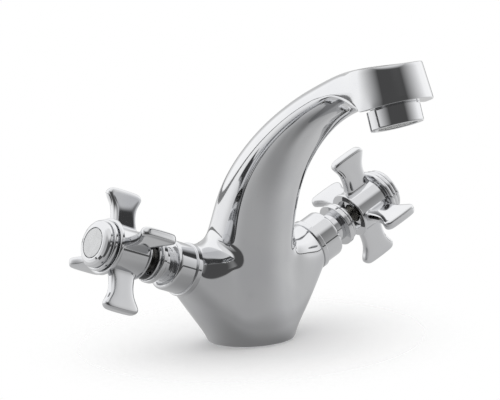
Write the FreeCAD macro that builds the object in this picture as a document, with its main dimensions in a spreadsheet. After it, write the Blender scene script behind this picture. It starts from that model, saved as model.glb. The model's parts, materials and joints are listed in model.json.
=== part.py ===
"""Deck mounted basin mixer with two cross handles and a fixed swan spout.

Millimetres, +Z up. The origin is the centre of the foot's underside, the spout
points along -Y, the hot valve is on the -X side and the cold valve on the +X side.
"""
import FreeCAD
import Part
import math
import operator
import os
import Sketcher
from FreeCAD import Placement, Rotation, Vector

DRIVING_SIZES = {
    # foot and spout casting
    "base_radius": 22.0,
    "foot_height": 1.2,
    "foot_round": 0.8,
    "column_rise": 27.5,
    "lower_bend_radius": 95.4,
    "lower_bend_angle": 42.9,
    "upper_bend_radius": 140.6,
    "upper_bend_angle": 42.0,
    "section_fullness": 0.62,
    "column_width": 42.0,
    "column_depth": 44.0,
    "shoulder_width": 40.0,
    "shoulder_depth": 39.1,
    "bend_width": 36.8,
    "bend_depth": 26.7,
    "arm_width": 33.2,
    "arm_depth": 19.7,
    "neck_width": 32.4,
    "neck_depth": 17.4,
    "outlet_width": 37.5,
    "outlet_depth": 19.4,
    "outlet_lift": 0.8,
    "outlet_fullness": 0.98,
    "outlet_taper": 0.035,
    # spout head
    "outlet_tilt": 17.7,
    "head_radius": 19.3,
    "head_drop": 8.9,
    "head_top_radius": 17.9,
    "head_top_rise": 10.2,
    "head_top_tilt": 13.0,
    "head_top_round": 2.4,
    "head_lip_round": 0.8,
    "head_overlap": 0.5,
    "aerator_boss_wall": 2.2,
    # valve limbs
    "limb_height": 25.0,
    "limb_tilt": 22.8,
    "socket_reach": 40.4,
    "socket_radius": 12.9,
    "limb_blend_radius": 9.5,
    "limb_blend_cover": 3.2,
    "limb_root_growth": 1.6,
    "skirt_inset": 0.7,
    # passages in the casting
    "valve_bore_radius": 10.45,
    "seat_depth": 19.4,
    "seat_port_radius": 4.0,
    "seat_port_start": 9.0,
    "inlet_radius": 4.5,
    "inlet_spacing": 18.0,
    "inlet_offset": 3.0,
    "inlet_depth": 14.0,
    "feed_radius": 3.6,
    "feed_depth": 28.0,
    "stud_hole_radius": 3.4,
    "stud_offset": 10.5,
    "stud_hole_depth": 14.0,
    "mixing_radius": 3.5,
    "mixing_height": 41.0,
    "mixing_inset": 1.4,
    "waterway_radius": 6.0,
    # seal under the foot
    "base_seal_inset": 4.5,
    "base_seal_width": 3.0,
    "base_seal_thickness": 1.9,
    # aerator
    "aerator_radius": 12.5,
    "aerator_drop": 9.0,
    "aerator_round": 0.6,
    "aerator_thread_radius": 12.0,
    "aerator_thread_length": 6.0,
    "aerator_bore_radius": 10.6,
    "aerator_lip": 1.2,
    "aerator_lip_height": 1.0,
    "aerator_washer_thickness": 1.5,
    "aerator_washer_bore": 7.5,
    "screen_thickness": 1.2,
    "screen_hole_radius": 0.9,
    "screen_first_ring": 3.3,
    "screen_second_ring": 6.6,
    "insert_hole_radius": 1.2,
    "insert_hole_ring": 5.5,
    # bonnet and collar
    "bonnet_length": 20.1,
    "bonnet_ring_radius": 13.4,
    "bonnet_ring_height": 3.0,
    "bonnet_ring_round": 0.8,
    "bonnet_radius": 12.5,
    "bonnet_barrel": 13.6,
    "bonnet_wall": 1.0,
    "bonnet_shoulder_round": 3.6,
    "bonnet_step_radius": 8.9,
    "bonnet_step_height": 1.0,
    "bonnet_neck_radius": 7.9,
    "collar_thickness": 5.0,
    "collar_radius": 11.4,
    "collar_lip_width": 2.9,
    "collar_groove_radius": 9.6,
    "collar_groove_width": 0.6,
    "collar_front_radius": 10.4,
    "collar_round": 0.7,
    # ceramic disc headwork
    "body_seal_thickness": 1.0,
    "body_seal_width": 0.8,
    "hexagon_radius": 11.3,
    "hexagon_height": 4.0,
    "valve_neck_radius": 6.5,
    "valve_neck_stand": 2.0,
    "valve_thread_length": 8.0,
    "valve_barrel_radius": 9.4,
    "valve_barrel_stand": 1.0,
    "valve_window_radius": 2.4,
    "disc_bore_radius": 8.3,
    "disc_thickness": 3.0,
    "disc_port_radius": 1.7,
    "disc_port_ring": 3.1,
    "opening_angle": 90.0,
    "seat_seal_thickness": 3.0,
    "seat_seal_bore": 5.2,
    "thrust_washer_thickness": 0.6,
    "spindle_radius": 4.5,
    "spindle_foot_radius": 7.9,
    "spindle_foot_height": 4.0,
    "spindle_lug_length": 14.2,
    "spindle_lug_width": 3.0,
    "spindle_lug_height": 1.2,
    "spindle_square": 6.0,
    "spindle_seal_start": 9.0,
    "spindle_seal_pitch": 4.0,
    "spindle_groove_depth": 0.9,
    "spindle_groove_width": 1.1,
    "circlip_radius": 6.0,
    "circlip_thickness": 0.8,
    "circlip_opening": 55.0,
    # cross handle
    "handle_gap": 5.0,
    "hub_length": 18.3,
    "hub_radius": 11.3,
    "rear_bead_radius": 11.9,
    "rear_bead_width": 1.2,
    "rear_bead_round": 0.5,
    "rear_recess_radius": 8.2,
    "rear_recess_depth": 2.5,
    "handle_socket_depth": 10.5,
    "handle_web": 3.0,
    "bead_width": 2.3,
    "bead_gap": 0.6,
    "bead_round": 0.8,
    "bead_groove_radius": 11.0,
    "outer_bead_radius": 13.9,
    "inner_bead_radius": 12.6,
    "arm_tip_radius": 31.0,
    "arm_tip_width": 21.0,
    "arm_tip_crown": 60.0,
    "arm_root_width": 15.6,
    "arm_side_radius": 34.0,
    "arm_thickness": 4.4,
    "arm_edge_round": 1.9,
    "arm_corner_round": 2.2,
    "arm_root_round": 0.8,
    "arm_offset": 0.6,
    "hot_handle_angle": 23.35,
    "cold_handle_angle": 5.36,
    "handle_screw_radius": 2.0,
    "handle_screw_length": 12.0,
    "handle_screw_head_radius": 3.8,
    "handle_screw_head_height": 2.6,
    # index cap and disc
    "cap_radius": 11.6,
    "cap_height": 3.4,
    "cap_edge_height": 0.8,
    "cap_edge_round": 0.7,
    "cap_face_radius": 8.6,
    "cap_skirt_radius": 8.4,
    "cap_skirt_length": 3.5,
    "index_disc_radius": 7.4,
    "index_disc_thickness": 1.0,
    # clearances
    "slip_clearance": 0.05,
    "running_clearance": 0.06,
    "face_clearance": 0.02,
}


BLEND_STEPS = 4
ARM_COUNT = 4
DISC_PORTS = 2
INSERT_HOLES = 8
SCREEN_INNER_HOLES = 6
SCREEN_OUTER_HOLES = 12
WALL_SHARE = 0.9
WHOLE_TURN = 360.0


class Size:
    """A length or an angle, together with the sheet formula that gives it."""

    def __init__(self, formula, number):
        self.formula = formula
        self.number = number

    def _joined(self, symbol, function, other):
        if not isinstance(other, Size):
            other = Size(str(other), other)
        formula = f"({self.formula} {symbol} {other.formula})"
        return Size(formula, function(self.number, other.number))

    def __add__(self, other):
        return self._joined("+", operator.add, other)

    def __sub__(self, other):
        return self._joined("-", operator.sub, other)

    def __mul__(self, other):
        return self._joined("*", operator.mul, other)

    def __truediv__(self, other):
        return self._joined("/", operator.truediv, other)

    def cosine(self):
        """The cosine of this angle."""
        return Size(f"cos({self.formula})", math.cos(math.radians(self.number)))

    def within(self, wall):
        """This size, limited by most of a wall's thickness."""
        limit = wall * WALL_SHARE
        formula = f"min({self.formula}; {limit.formula})"
        return Size(formula, min(self.number, limit.number))


class Sizes:
    """The driving sizes as attributes, each tied to its cell of the sheet."""

    def __init__(self, document, values):
        sheet = document.addObject("Spreadsheet::Sheet", "sizes")
        for row, (alias, value) in enumerate(values.items(), start=1):
            sheet.set(f"A{row}", alias)
            sheet.set(f"B{row}", str(value))
            sheet.setAlias(f"B{row}", alias)
        document.recompute()
        for alias in values:
            setattr(self, alias, Size(f"sizes.{alias}", float(sheet.get(alias))))


doc = FreeCAD.newDocument("basin_mixer")
size = Sizes(doc, DRIVING_SIZES)
subparts = {}

# stations along a valve axis, measured from where the two axes meet
face = size.socket_reach
seat = face - size.seat_depth
collar_seat = face + size.bonnet_length
collar_front = collar_seat + size.collar_thickness
valve_top = collar_front + size.valve_neck_stand
hub_rear = collar_front + size.handle_gap
hub_front = hub_rear + size.hub_length
inner_bead_start = hub_front + size.bead_width + size.bead_gap
cap_seat = inner_bead_start + size.bead_width + size.bead_gap
cap_front = cap_seat + size.cap_height
fixed_disc_start = seat + size.seat_seal_thickness
moving_disc_start = fixed_disc_start + size.disc_thickness + size.face_clearance
spindle_start = moving_disc_start + size.disc_thickness
spindle_shoulder = spindle_start + size.spindle_foot_height
thrust_washer_start = spindle_shoulder + size.face_clearance
valve_shoulder = thrust_washer_start + size.thrust_washer_thickness
circlip_start = valve_top + size.running_clearance
square_start = hub_rear + size.rear_recess_depth
spindle_top = square_start + size.handle_socket_depth
screw_seat = spindle_top + size.handle_web


class Side:
    """One of the two valves: its name, its side of the tap and its handle angle."""

    def __init__(self, name, sign, handle_angle):
        self.name = name
        self.sign = sign
        self.handle_angle = handle_angle
        tilt = math.radians(size.limb_tilt.number)
        self.axis = Vector(sign * math.cos(tilt), 0, math.sin(tilt))
        self.upward = Vector(-sign * math.sin(tilt), 0, math.cos(tilt))
        self.origin = Vector(0, 0, size.limb_height.number)

    def placement(self, turn=0.0):
        """Local Z runs outward along the valve axis, local X to the front."""
        frame = Rotation(Vector(0, -1, 0), Vector(), self.axis, "ZXY")
        return Placement(self.origin, frame * Rotation(Vector(0, 0, 1), turn))

    def point(self, station):
        """The point of the valve axis at a station."""
        return self.origin + self.axis * station


SIDES = (
    Side("hot", -1, size.hot_handle_angle.number),
    Side("cold", 1, size.cold_handle_angle.number),
)


def register(item, label, placement=None):
    """Names a finished sub-part and puts it in its place."""
    item.Label = label
    if placement is not None:
        item.Placement = placement
    subparts[label] = item
    return item


def origin_feature(body, role):
    """One of a body's own origin planes or axes."""
    return next(item for item in body.Origin.OriginFeatures if item.Role == role)


def new_sketch(body, plane, name):
    """An empty sketch on one of the body's origin planes."""
    sketch = body.newObject("Sketcher::SketchObject", name)
    sketch.AttachmentSupport = (origin_feature(body, plane), [""])
    sketch.MapMode = "FlatFace"
    return sketch


def pin_point(sketch, edge, end, across, along):
    """Ties a sketch point to its two sizes, None meaning on the axis."""
    places = (("DistanceX", across, -2), ("DistanceY", along, -1))
    for kind, place, axis in places:
        if place is None:
            sketch.addConstraint(Sketcher.Constraint("PointOnObject", edge, end, axis))
        else:
            rule = Sketcher.Constraint(kind, -1, 1, edge, end, place.number)
            number = sketch.addConstraint(rule)
            sketch.setExpression(f"Constraints[{number}]", place.formula)


def draw_outline(sketch, points):
    """A closed outline of straight lines through points of (across, along) sizes."""
    def at(point):
        return Vector(*[0 if place is None else place.number for place in point])

    count = len(points)
    for index, point in enumerate(points):
        following = points[(index + 1) % count]
        sketch.addGeometry(Part.LineSegment(at(point), at(following)))
    for index, point in enumerate(points):
        following = (index + 1) % count
        sketch.addConstraint(Sketcher.Constraint("Coincident", index, 2, following, 1))
        pin_point(sketch, index, 1, *point)


def turned(name, points, angle=WHOLE_TURN):
    """A body turned about its Z axis from points of (radius, station) sizes."""
    body = doc.addObject("PartDesign::Body", name)
    sketch = new_sketch(body, "XZ_Plane", f"{name}_profile")
    draw_outline(sketch, points)
    add_turning(body, sketch, name, angle)
    return body


def add_turning(body, sketch, name, angle=WHOLE_TURN):
    """Revolves a profile sketch about the body's Z axis."""
    turning = body.newObject("PartDesign::Revolution", f"{name}_turning")
    turning.Profile = sketch
    turning.ReferenceAxis = (sketch, ["V_Axis"])
    turning.Angle = angle
    doc.recompute()
    return turning


def ring(name, inner, outer, start, end, angle=WHOLE_TURN):
    """A plain ring or, without an inner radius, a plain disc."""
    return turned(name, [(inner, start), (outer, start), (outer, end), (inner, end)], angle)


def round_edges(body, radius, wanted):
    """Rounds the edges of the body's tip that the test picks."""
    tip = body.Tip
    names = [f"Edge{i}" for i, edge in enumerate(tip.Shape.Edges, start=1) if wanted(edge)]
    if not names:
        raise RuntimeError(f"no edge to round on {body.Label}")
    fillet = body.newObject("PartDesign::Fillet", f"{body.Name}_round")
    fillet.Base = (tip, names)
    fillet.setExpression("Radius", radius.formula)
    doc.recompute()
    return fillet


def circles_at(*places):
    """A test for full circles about Z at any of the (radius, station) sizes."""
    def wanted(edge):
        if edge.Curve.TypeId != "Part::GeomCircle":
            return False
        here = (edge.Curve.Radius, edge.Curve.Center.z)
        return any(math.dist(here, (r.number, s.number)) < size.face_clearance.number
                   for r, s in places)
    return wanted


def add_cylinder(body, kind, name, radius, height, position, direction=Vector(0, 0, 1)):
    """A cylinder added to or cut from a body; its position is in body coordinates."""
    cylinder = body.newObject(f"PartDesign::{kind}Cylinder", name)
    cylinder.AttachmentSupport = (origin_feature(body, "XY_Plane"), [""])
    cylinder.MapMode = "FlatFace"
    turn = Rotation(Vector(0, 0, 1), direction)
    cylinder.AttachmentOffset = Placement(position, turn)
    cylinder.setExpression("Radius", radius.formula)
    cylinder.setExpression("Height", height.formula)
    doc.recompute()
    return cylinder


def add_box(body, kind, name, length, width, height, position):
    """A box added to or cut from a body; its position is its lowest corner."""
    box = body.newObject(f"PartDesign::{kind}Box", name)
    box.AttachmentSupport = (origin_feature(body, "XY_Plane"), [""])
    box.MapMode = "FlatFace"
    box.AttachmentOffset = Placement(position, Rotation())
    box.setExpression("Length", length.formula)
    box.setExpression("Width", width.formula)
    box.setExpression("Height", height.formula)
    doc.recompute()
    return box


def on_ring(radius, station, angle):
    """A point at a radius and angle about Z."""
    turn = math.radians(angle)
    return Vector(radius * math.cos(turn), radius * math.sin(turn), station)


# The casting: column, spout head and valve limbs are lofted and joined, then bored.

def spine_point(lower_share, upper_share):
    """A point of the spout's centre line and its lean from the vertical."""
    lean = math.radians(size.lower_bend_angle.number * lower_share)
    radius = size.lower_bend_radius.number
    y = -radius * (1 - math.cos(lean))
    z = size.column_rise.number + radius * math.sin(lean)
    if upper_share:
        further = lean + math.radians(size.upper_bend_angle.number * upper_share)
        radius = size.upper_bend_radius.number
        y -= radius * (math.cos(lean) - math.cos(further))
        z += radius * (math.sin(further) - math.sin(lean))
        lean = further
    return Vector(0, y, z), lean


def oval(centre, across, along, half_width, half_depth, fullness=None, taper=0.0):
    """A closed section of four curved quarters, fuller than an ellipse.

    A taper makes the section narrower on the side that along points to.
    """
    if fullness is None:
        fullness = size.section_fullness.number

    def pole(wide, deep):
        width = half_width * wide * (1 - taper * deep)
        return centre + across * width + along * (half_depth * deep)

    corners = [(1, 0), (0, 1), (-1, 0), (0, -1)]
    quarters = []
    for (wide, deep), (next_wide, next_deep) in zip(corners, corners[1:] + corners[:1]):
        quarter = Part.BezierCurve()
        quarter.setPoles([
            pole(wide, deep),
            pole(wide + next_wide * fullness, deep + next_deep * fullness),
            pole(next_wide + wide * fullness, next_deep + deep * fullness),
            pole(next_wide, next_deep),
        ])
        quarters.append(quarter.toShape())
    return Part.Wire(quarters)


def column_sections():
    """The spout's sections, from the foot up to the flat-bottomed outlet."""
    base = size.base_radius.number * 2
    foot = (Vector(0, 0, size.foot_height.number / 2), 0.0)
    across = Vector(1, 0, 0)
    stations = [
        (foot, base, base),
        (spine_point(0, 0), size.column_width.number, size.column_depth.number),
        (spine_point(1 / 2, 0), size.shoulder_width.number, size.shoulder_depth.number),
        (spine_point(1, 0), size.bend_width.number, size.bend_depth.number),
        (spine_point(1, 1 / 3), size.arm_width.number, size.arm_depth.number),
        (spine_point(1, 2 / 3), size.neck_width.number, size.neck_depth.number),
    ]
    for (centre, lean), width, depth in stations:
        along = Vector(0, math.cos(lean), math.sin(lean))
        yield oval(centre, across, along, width / 2, depth / 2)
    tip, lean = spine_point(1, 1)
    along = Vector(0, math.cos(lean), math.sin(lean))
    yield oval(tip + along * size.outlet_lift.number, across, along,
               size.outlet_width.number / 2, size.outlet_depth.number / 2,
               size.outlet_fullness.number, size.outlet_taper.number)


def limb_blend_sections(side):
    """Ovals fanned about the hollow between limb and column, from column to socket."""
    blend = size.limb_blend_radius.number
    socket = size.socket_radius.number - size.running_clearance.number
    crown = side.point(face.number) + side.upward * size.socket_radius.number
    hub = crown + side.upward * blend
    whole_turn = math.pi / 2 + math.radians(size.limb_tilt.number)
    column_end = Vector(-side.sign, 0, 0)
    lean_back = spine_point(1 / 2, 0)[0].y
    root_width = size.shoulder_depth.number / 2 - size.limb_blend_cover.number
    for step in range(BLEND_STEPS + 1):
        share = step / BLEND_STEPS
        turn = whole_turn * share
        outward = column_end * math.cos(turn) + Vector(0, 0, -math.sin(turn))
        half_width = root_width + (socket - root_width) * share
        half_height = socket + size.limb_root_growth.number * (1 - share)
        inset = (1 - share) * size.skirt_inset.number
        centre = hub + outward * (blend + inset + half_height)
        centre.y = lean_back * (1 - share)
        yield oval(centre, Vector(0, 1, 0), outward, half_width, half_height)


def limb_skirt(side):
    """The cone that runs from the foot out to the socket."""
    foot_radius = size.base_radius.number - size.skirt_inset.number
    socket = size.socket_radius.number - size.running_clearance.number
    foot = Part.makeCircle(foot_radius, Vector(0, 0, size.foot_height.number / 2), Vector(0, 0, 1))
    mouth = Part.makeCircle(socket, side.point(face.number), side.axis)
    return Part.makeLoft([Part.Wire(foot), Part.Wire(mouth)], True, True)


def outlet_frame():
    """The outlet's centre on the spine and its downward direction."""
    tip, lean = spine_point(1, 1)
    tilt = math.radians(size.outlet_tilt.number)
    return tip, Vector(0, -math.sin(tilt), -math.cos(tilt))


def spout_head():
    """The drafted round head that carries the aerator."""
    tip, down = outlet_frame()
    tilt = math.radians(size.head_top_tilt.number)
    top_normal = Vector(0, math.sin(tilt), math.cos(tilt))
    lip_centre = tip + down * size.head_drop.number
    top_centre = tip - down * size.head_top_rise.number
    lip = Part.makeCircle(size.head_radius.number, lip_centre, down * -1)
    top = Part.makeCircle(size.head_top_radius.number, top_centre, top_normal)
    head = Part.makeLoft([Part.Wire(lip), Part.Wire(top)], True, True)

    def rims(centre):
        return [edge for edge in head.Edges
                if edge.Closed and edge.CenterOfMass.distanceToPoint(centre) < 1]

    head = head.makeFillet(size.head_top_round.number, rims(top_centre))
    head = head.makeFillet(size.head_lip_round.number, rims(lip_centre))
    span = size.head_radius.number * 4
    behind = Vector(-span / 2, tip.y + size.head_overlap.number, tip.z - span / 2)
    return head.cut(Part.makeBox(span, span, span, behind))


def spout_waterway():
    """The passage that follows the spine from the mixing chamber to the outlet."""
    ends = [spine_point(1 / 8, 0), spine_point(1, 0), spine_point(1, 1)]
    middles = [spine_point(1 / 2, 0), spine_point(1, 1 / 2)]
    arcs = []
    for (start, _), (middle, _), (end, _) in zip(ends, middles, ends[1:]):
        arcs.append(Part.Arc(start, middle, end).toShape())
    start, lean = ends[0]
    along = Vector(0, -math.sin(lean), math.cos(lean))
    section = Part.makeCircle(size.waterway_radius.number, start, along)
    return Part.Wire(arcs).makePipeShell([Part.Wire(section)], True, True)


def shape_feature(name, shape):
    """A feature that carries a shape made above."""
    feature = doc.addObject("Part::Feature", name)
    feature.Shape = shape
    return feature


def drilling(name, radius, depth, position, direction):
    """A drill's cylinder, from a mouth along a direction."""
    drill = doc.addObject("Part::Cylinder", name)
    drill.setExpression("Radius", radius.formula)
    drill.setExpression("Height", depth.formula)
    drill.Placement = Placement(position, Rotation(Vector(0, 0, 1), direction))
    return drill


def joined(name, features):
    """Several features fused into one."""
    union = doc.addObject("Part::MultiFuse", name)
    union.Shapes = features
    return union


def foot_disc():
    """The foot's rim, rounded where it meets the basin."""
    disc = doc.addObject("Part::Cylinder", "foot_disc")
    disc.setExpression("Radius", size.base_radius.formula)
    disc.setExpression("Height", size.foot_height.formula)
    doc.recompute()
    rounded = doc.addObject("Part::Fillet", "foot_rim")
    rounded.Base = disc
    radius = size.foot_round.number
    rounded.Edges = [(number, radius, radius) for number, edge in enumerate(disc.Shape.Edges, start=1)
                     if edge.Closed and edge.CenterOfMass.z < size.foot_round.number / 2]
    return rounded


def valve_limb(side):
    """One limb: hollow blend to the column, cone to the foot and the turned socket."""
    blend = Part.makeLoft(list(limb_blend_sections(side)), True, False)
    length = size.valve_thread_length
    start = side.point((face - length).number)
    return joined(f"{side.name}_limb", [
        shape_feature(f"{side.name}_limb_blend", blend),
        shape_feature(f"{side.name}_limb_skirt", limb_skirt(side)),
        drilling(f"{side.name}_socket", size.socket_radius, length, start, side.axis),
    ])


def aerator_boss():
    """The ring of metal round the aerator's thread, most of it inside the head."""
    tip, down = outlet_frame()
    radius = size.aerator_thread_radius + size.aerator_boss_wall
    return drilling("aerator_boss", radius, size.head_drop, tip, down)


def casting_outside():
    """Everything that the casting is before it is bored."""
    column = Part.makeLoft(list(column_sections()), True, False)
    cold_limb = valve_limb(SIDES[1])
    hot_limb = doc.addObject("Part::Mirroring", "hot_limb")
    hot_limb.Source = cold_limb
    hot_limb.Normal = Vector(1, 0, 0)
    doc.recompute()
    return joined("casting_outside", [
        foot_disc(),
        shape_feature("column", column),
        shape_feature("spout_head", spout_head()),
        aerator_boss(),
        cold_limb,
        hot_limb,
    ])


def casting_passages():
    """The bores, ports and threaded holes of the casting."""
    up = Vector(0, 0, 1)
    tip, down = outlet_frame()
    recess = size.aerator_thread_length + size.aerator_washer_thickness
    mouth = tip + down * size.head_drop.number
    bore = size.aerator_thread_radius + size.slip_clearance
    features = [
        drilling("aerator_recess", bore, recess, mouth, down * -1),
        drilling("outlet_drop", size.aerator_washer_bore, size.head_drop, tip, down),
        shape_feature("waterway", spout_waterway()),
        drilling("stud_hole", size.stud_hole_radius, size.stud_hole_depth,
                 Vector(0, size.stud_offset.number, 0), up),
    ]
    mixing_reach = seat * size.limb_tilt.cosine() - size.mixing_inset
    for side in SIDES:
        bore_start = side.point(seat.number)
        port_start = side.point(size.seat_port_start.number)
        inlet = Vector(side.sign * size.inlet_spacing.number / 2, -size.inlet_offset.number, 0)
        mixing = Vector(side.sign * mixing_reach.number, 0, size.mixing_height.number)
        features += [
            drilling(f"{side.name}_valve_bore", size.valve_bore_radius, size.seat_depth,
                     bore_start, side.axis),
            drilling(f"{side.name}_seat_port", size.seat_port_radius, seat - size.seat_port_start,
                     port_start, side.axis),
            drilling(f"{side.name}_inlet", size.inlet_radius, size.inlet_depth, inlet, up),
            drilling(f"{side.name}_feed", size.feed_radius, size.feed_depth, inlet, up),
            drilling(f"{side.name}_mixing_port", size.mixing_radius, mixing_reach,
                     mixing, Vector(-side.sign, 0, 0)),
        ]
    return joined("casting_passages", features)


def base_seal_groove():
    """The groove under the foot, as the ring of metal that is cut away."""
    middle = size.base_radius - size.base_seal_inset
    inner = middle - size.base_seal_width / 2 - size.slip_clearance
    outer = middle + size.base_seal_width / 2 + size.slip_clearance
    depth = size.base_seal_thickness + size.slip_clearance
    return ring("base_seal_groove", inner, outer, None, depth)


def body_casting():
    """The chromed brass casting."""
    passages = joined("casting_cuts", [casting_passages(), base_seal_groove()])
    casting = doc.addObject("Part::Cut", "body_casting")
    casting.Base = casting_outside()
    casting.Tool = passages
    doc.recompute()
    register(casting, "body_casting")


def base_seal():
    """The rubber ring that seals the foot to the basin."""
    middle = size.base_radius - size.base_seal_inset
    inner = middle - size.base_seal_width / 2
    outer = middle + size.base_seal_width / 2
    register(ring("base_seal", inner, outer, None, size.base_seal_thickness), "base_seal")


# The aerator, in a frame whose Z runs down from the top of its recess.

def aerator_placement():
    """The top of the aerator's recess, with Z along the jet."""
    tip, down = outlet_frame()
    depth = size.head_drop - size.aerator_thread_length - size.aerator_washer_thickness
    return Placement(tip + down * depth.number, Rotation(Vector(0, 0, 1), down))


def aerator():
    """Washer, housing, flow straightener and outlet screen."""
    place = aerator_placement()
    washer_end = size.aerator_washer_thickness
    thread_end = washer_end + size.aerator_thread_length
    mouth = thread_end + size.aerator_drop
    lip_start = mouth - size.aerator_lip_height
    bore = size.aerator_bore_radius
    lip_bore = bore - size.aerator_lip
    screen_start = lip_start - size.screen_thickness
    washer = ring("aerator_washer", size.aerator_washer_bore, size.aerator_thread_radius,
                  None, washer_end)
    register(washer, "aerator_washer", place)
    housing = turned("aerator_housing", [
        (bore, washer_end),
        (size.aerator_thread_radius, washer_end),
        (size.aerator_thread_radius, thread_end),
        (size.aerator_radius, thread_end),
        (size.aerator_radius, mouth),
        (lip_bore, mouth),
        (lip_bore, lip_start),
        (bore, lip_start),
    ])
    round_edges(housing, size.aerator_round, circles_at((size.aerator_radius, mouth)))
    register(housing, "aerator_housing", place)
    body_radius = bore - size.slip_clearance
    insert = ring("aerator_insert", None, body_radius, washer_end, screen_start)
    pierce(insert, size.insert_hole_radius, size.insert_hole_ring, INSERT_HOLES, washer_end,
           screen_start - washer_end)
    register(insert, "aerator_insert", place)
    screen = ring("aerator_screen", None, body_radius, screen_start, lip_start)
    pierce(screen, size.screen_hole_radius, size.screen_first_ring, SCREEN_INNER_HOLES, screen_start,
           size.screen_thickness)
    pierce(screen, size.screen_hole_radius, size.screen_second_ring, SCREEN_OUTER_HOLES, screen_start,
           size.screen_thickness)
    register(screen, "aerator_screen", place)


def pierce(body, radius, ring_radius, count, start, depth):
    """A ring of holes right through a disc."""
    hole = add_cylinder(body, "Subtractive", f"{body.Name}_hole", radius, depth,
                        on_ring(ring_radius.number, start.number, 0))
    pattern = body.newObject("PartDesign::PolarPattern", f"{body.Name}_holes")
    pattern.Originals = [hole]
    pattern.Axis = (origin_feature(body, "Z_Axis"), [""])
    pattern.Angle = WHOLE_TURN
    pattern.Occurrences = count
    body.Tip = pattern
    doc.recompute()


# The headworks and handles, in the frames of the two valve axes.

def bonnet(side):
    """The dome that covers the headwork, with its beaded foot ring and its neck."""
    ring_top = face + size.bonnet_ring_height
    shoulder = face + size.bonnet_barrel
    step_top = shoulder + size.bonnet_step_height
    cavity = size.bonnet_radius - size.bonnet_wall
    cavity_top = shoulder - size.bonnet_shoulder_round
    bore = size.valve_neck_radius + size.slip_clearance
    body = turned(f"{side.name}_bonnet", [
        (cavity, face),
        (size.bonnet_ring_radius, face),
        (size.bonnet_ring_radius, ring_top),
        (size.bonnet_radius, ring_top),
        (size.bonnet_radius, shoulder),
        (size.bonnet_step_radius, shoulder),
        (size.bonnet_step_radius, step_top),
        (size.bonnet_neck_radius, step_top),
        (size.bonnet_neck_radius, collar_seat),
        (bore, collar_seat),
        (bore, cavity_top),
        (cavity, cavity_top),
    ])
    ledge = size.bonnet_radius - size.bonnet_step_radius
    round_edges(body, size.bonnet_shoulder_round.within(ledge),
                circles_at((size.bonnet_radius, shoulder)))
    rims = circles_at((size.bonnet_ring_radius, face), (size.bonnet_ring_radius, ring_top))
    step = size.bonnet_ring_radius - size.bonnet_radius
    round_edges(body, size.bonnet_ring_round.within(step), rims)
    register(body, f"{side.name}_bonnet", side.placement())


def collar(side):
    """The ring nut with a rounded lip that clamps the bonnet."""
    bore = size.valve_neck_radius + size.slip_clearance
    lip_end = collar_seat + size.collar_lip_width
    groove_end = lip_end + size.collar_groove_width
    body = turned(f"{side.name}_collar", [
        (bore, collar_seat),
        (size.collar_radius, collar_seat),
        (size.collar_radius, lip_end),
        (size.collar_groove_radius, lip_end),
        (size.collar_groove_radius, groove_end),
        (size.collar_front_radius, groove_end),
        (size.collar_front_radius, collar_front),
        (bore, collar_front),
    ])
    rims = circles_at((size.collar_radius, collar_seat), (size.collar_radius, lip_end),
                      (size.collar_front_radius, collar_front))
    round_edges(body, size.collar_round, rims)
    register(body, f"{side.name}_collar", side.placement())


def valve_body(side):
    """The brass headwork that screws into the limb and carries the spindle."""
    thread = size.valve_bore_radius - size.slip_clearance
    thread_start = face - size.valve_thread_length
    hexagon_start = face + size.body_seal_thickness
    hexagon_end = hexagon_start + size.hexagon_height
    bottom = seat + size.valve_barrel_stand
    bore = size.spindle_radius + size.running_clearance
    body = turned(f"{side.name}_valve_body", [
        (size.disc_bore_radius, bottom),
        (size.valve_barrel_radius, bottom),
        (size.valve_barrel_radius, thread_start),
        (thread, thread_start),
        (thread, hexagon_end),
        (size.valve_neck_radius, hexagon_end),
        (size.valve_neck_radius, valve_top),
        (bore, valve_top),
        (bore, valve_shoulder),
        (size.disc_bore_radius, valve_shoulder),
    ])
    hexagon = body.newObject("PartDesign::AdditivePrism", f"{side.name}_hexagon")
    hexagon.AttachmentSupport = (origin_feature(body, "XY_Plane"), [""])
    hexagon.MapMode = "FlatFace"
    hexagon.AttachmentOffset = Placement(Vector(0, 0, hexagon_start.number), Rotation())
    hexagon.Polygon = 6
    hexagon.setExpression("Circumradius", size.hexagon_radius.formula)
    hexagon.setExpression("Height", size.hexagon_height.formula)
    doc.recompute()
    clear_bore = add_cylinder(body, "Subtractive", f"{side.name}_spindle_bore", bore,
                              size.hexagon_height, Vector(0, 0, hexagon_start.number))
    body.Tip = clear_bore
    window_station = (moving_disc_start + size.disc_thickness).number
    across = size.valve_barrel_radius * 2
    add_cylinder(body, "Subtractive", f"{side.name}_window", size.valve_window_radius, across,
                 Vector(-size.valve_barrel_radius.number, 0, window_station), Vector(1, 0, 0))
    register(body, f"{side.name}_valve_body", side.placement())


def valve_seals(side):
    """The washer under the headwork's hexagon and the rubber ring on the seat."""
    inner = size.valve_bore_radius
    washer = ring(f"{side.name}_body_seal", inner, inner + size.body_seal_width, face,
                  face + size.body_seal_thickness)
    register(washer, f"{side.name}_body_seal", side.placement())
    outer = size.disc_bore_radius - size.slip_clearance
    seal = ring(f"{side.name}_seat_seal", size.seat_seal_bore, outer, seat, fixed_disc_start)
    register(seal, f"{side.name}_seat_seal", side.placement())


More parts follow.
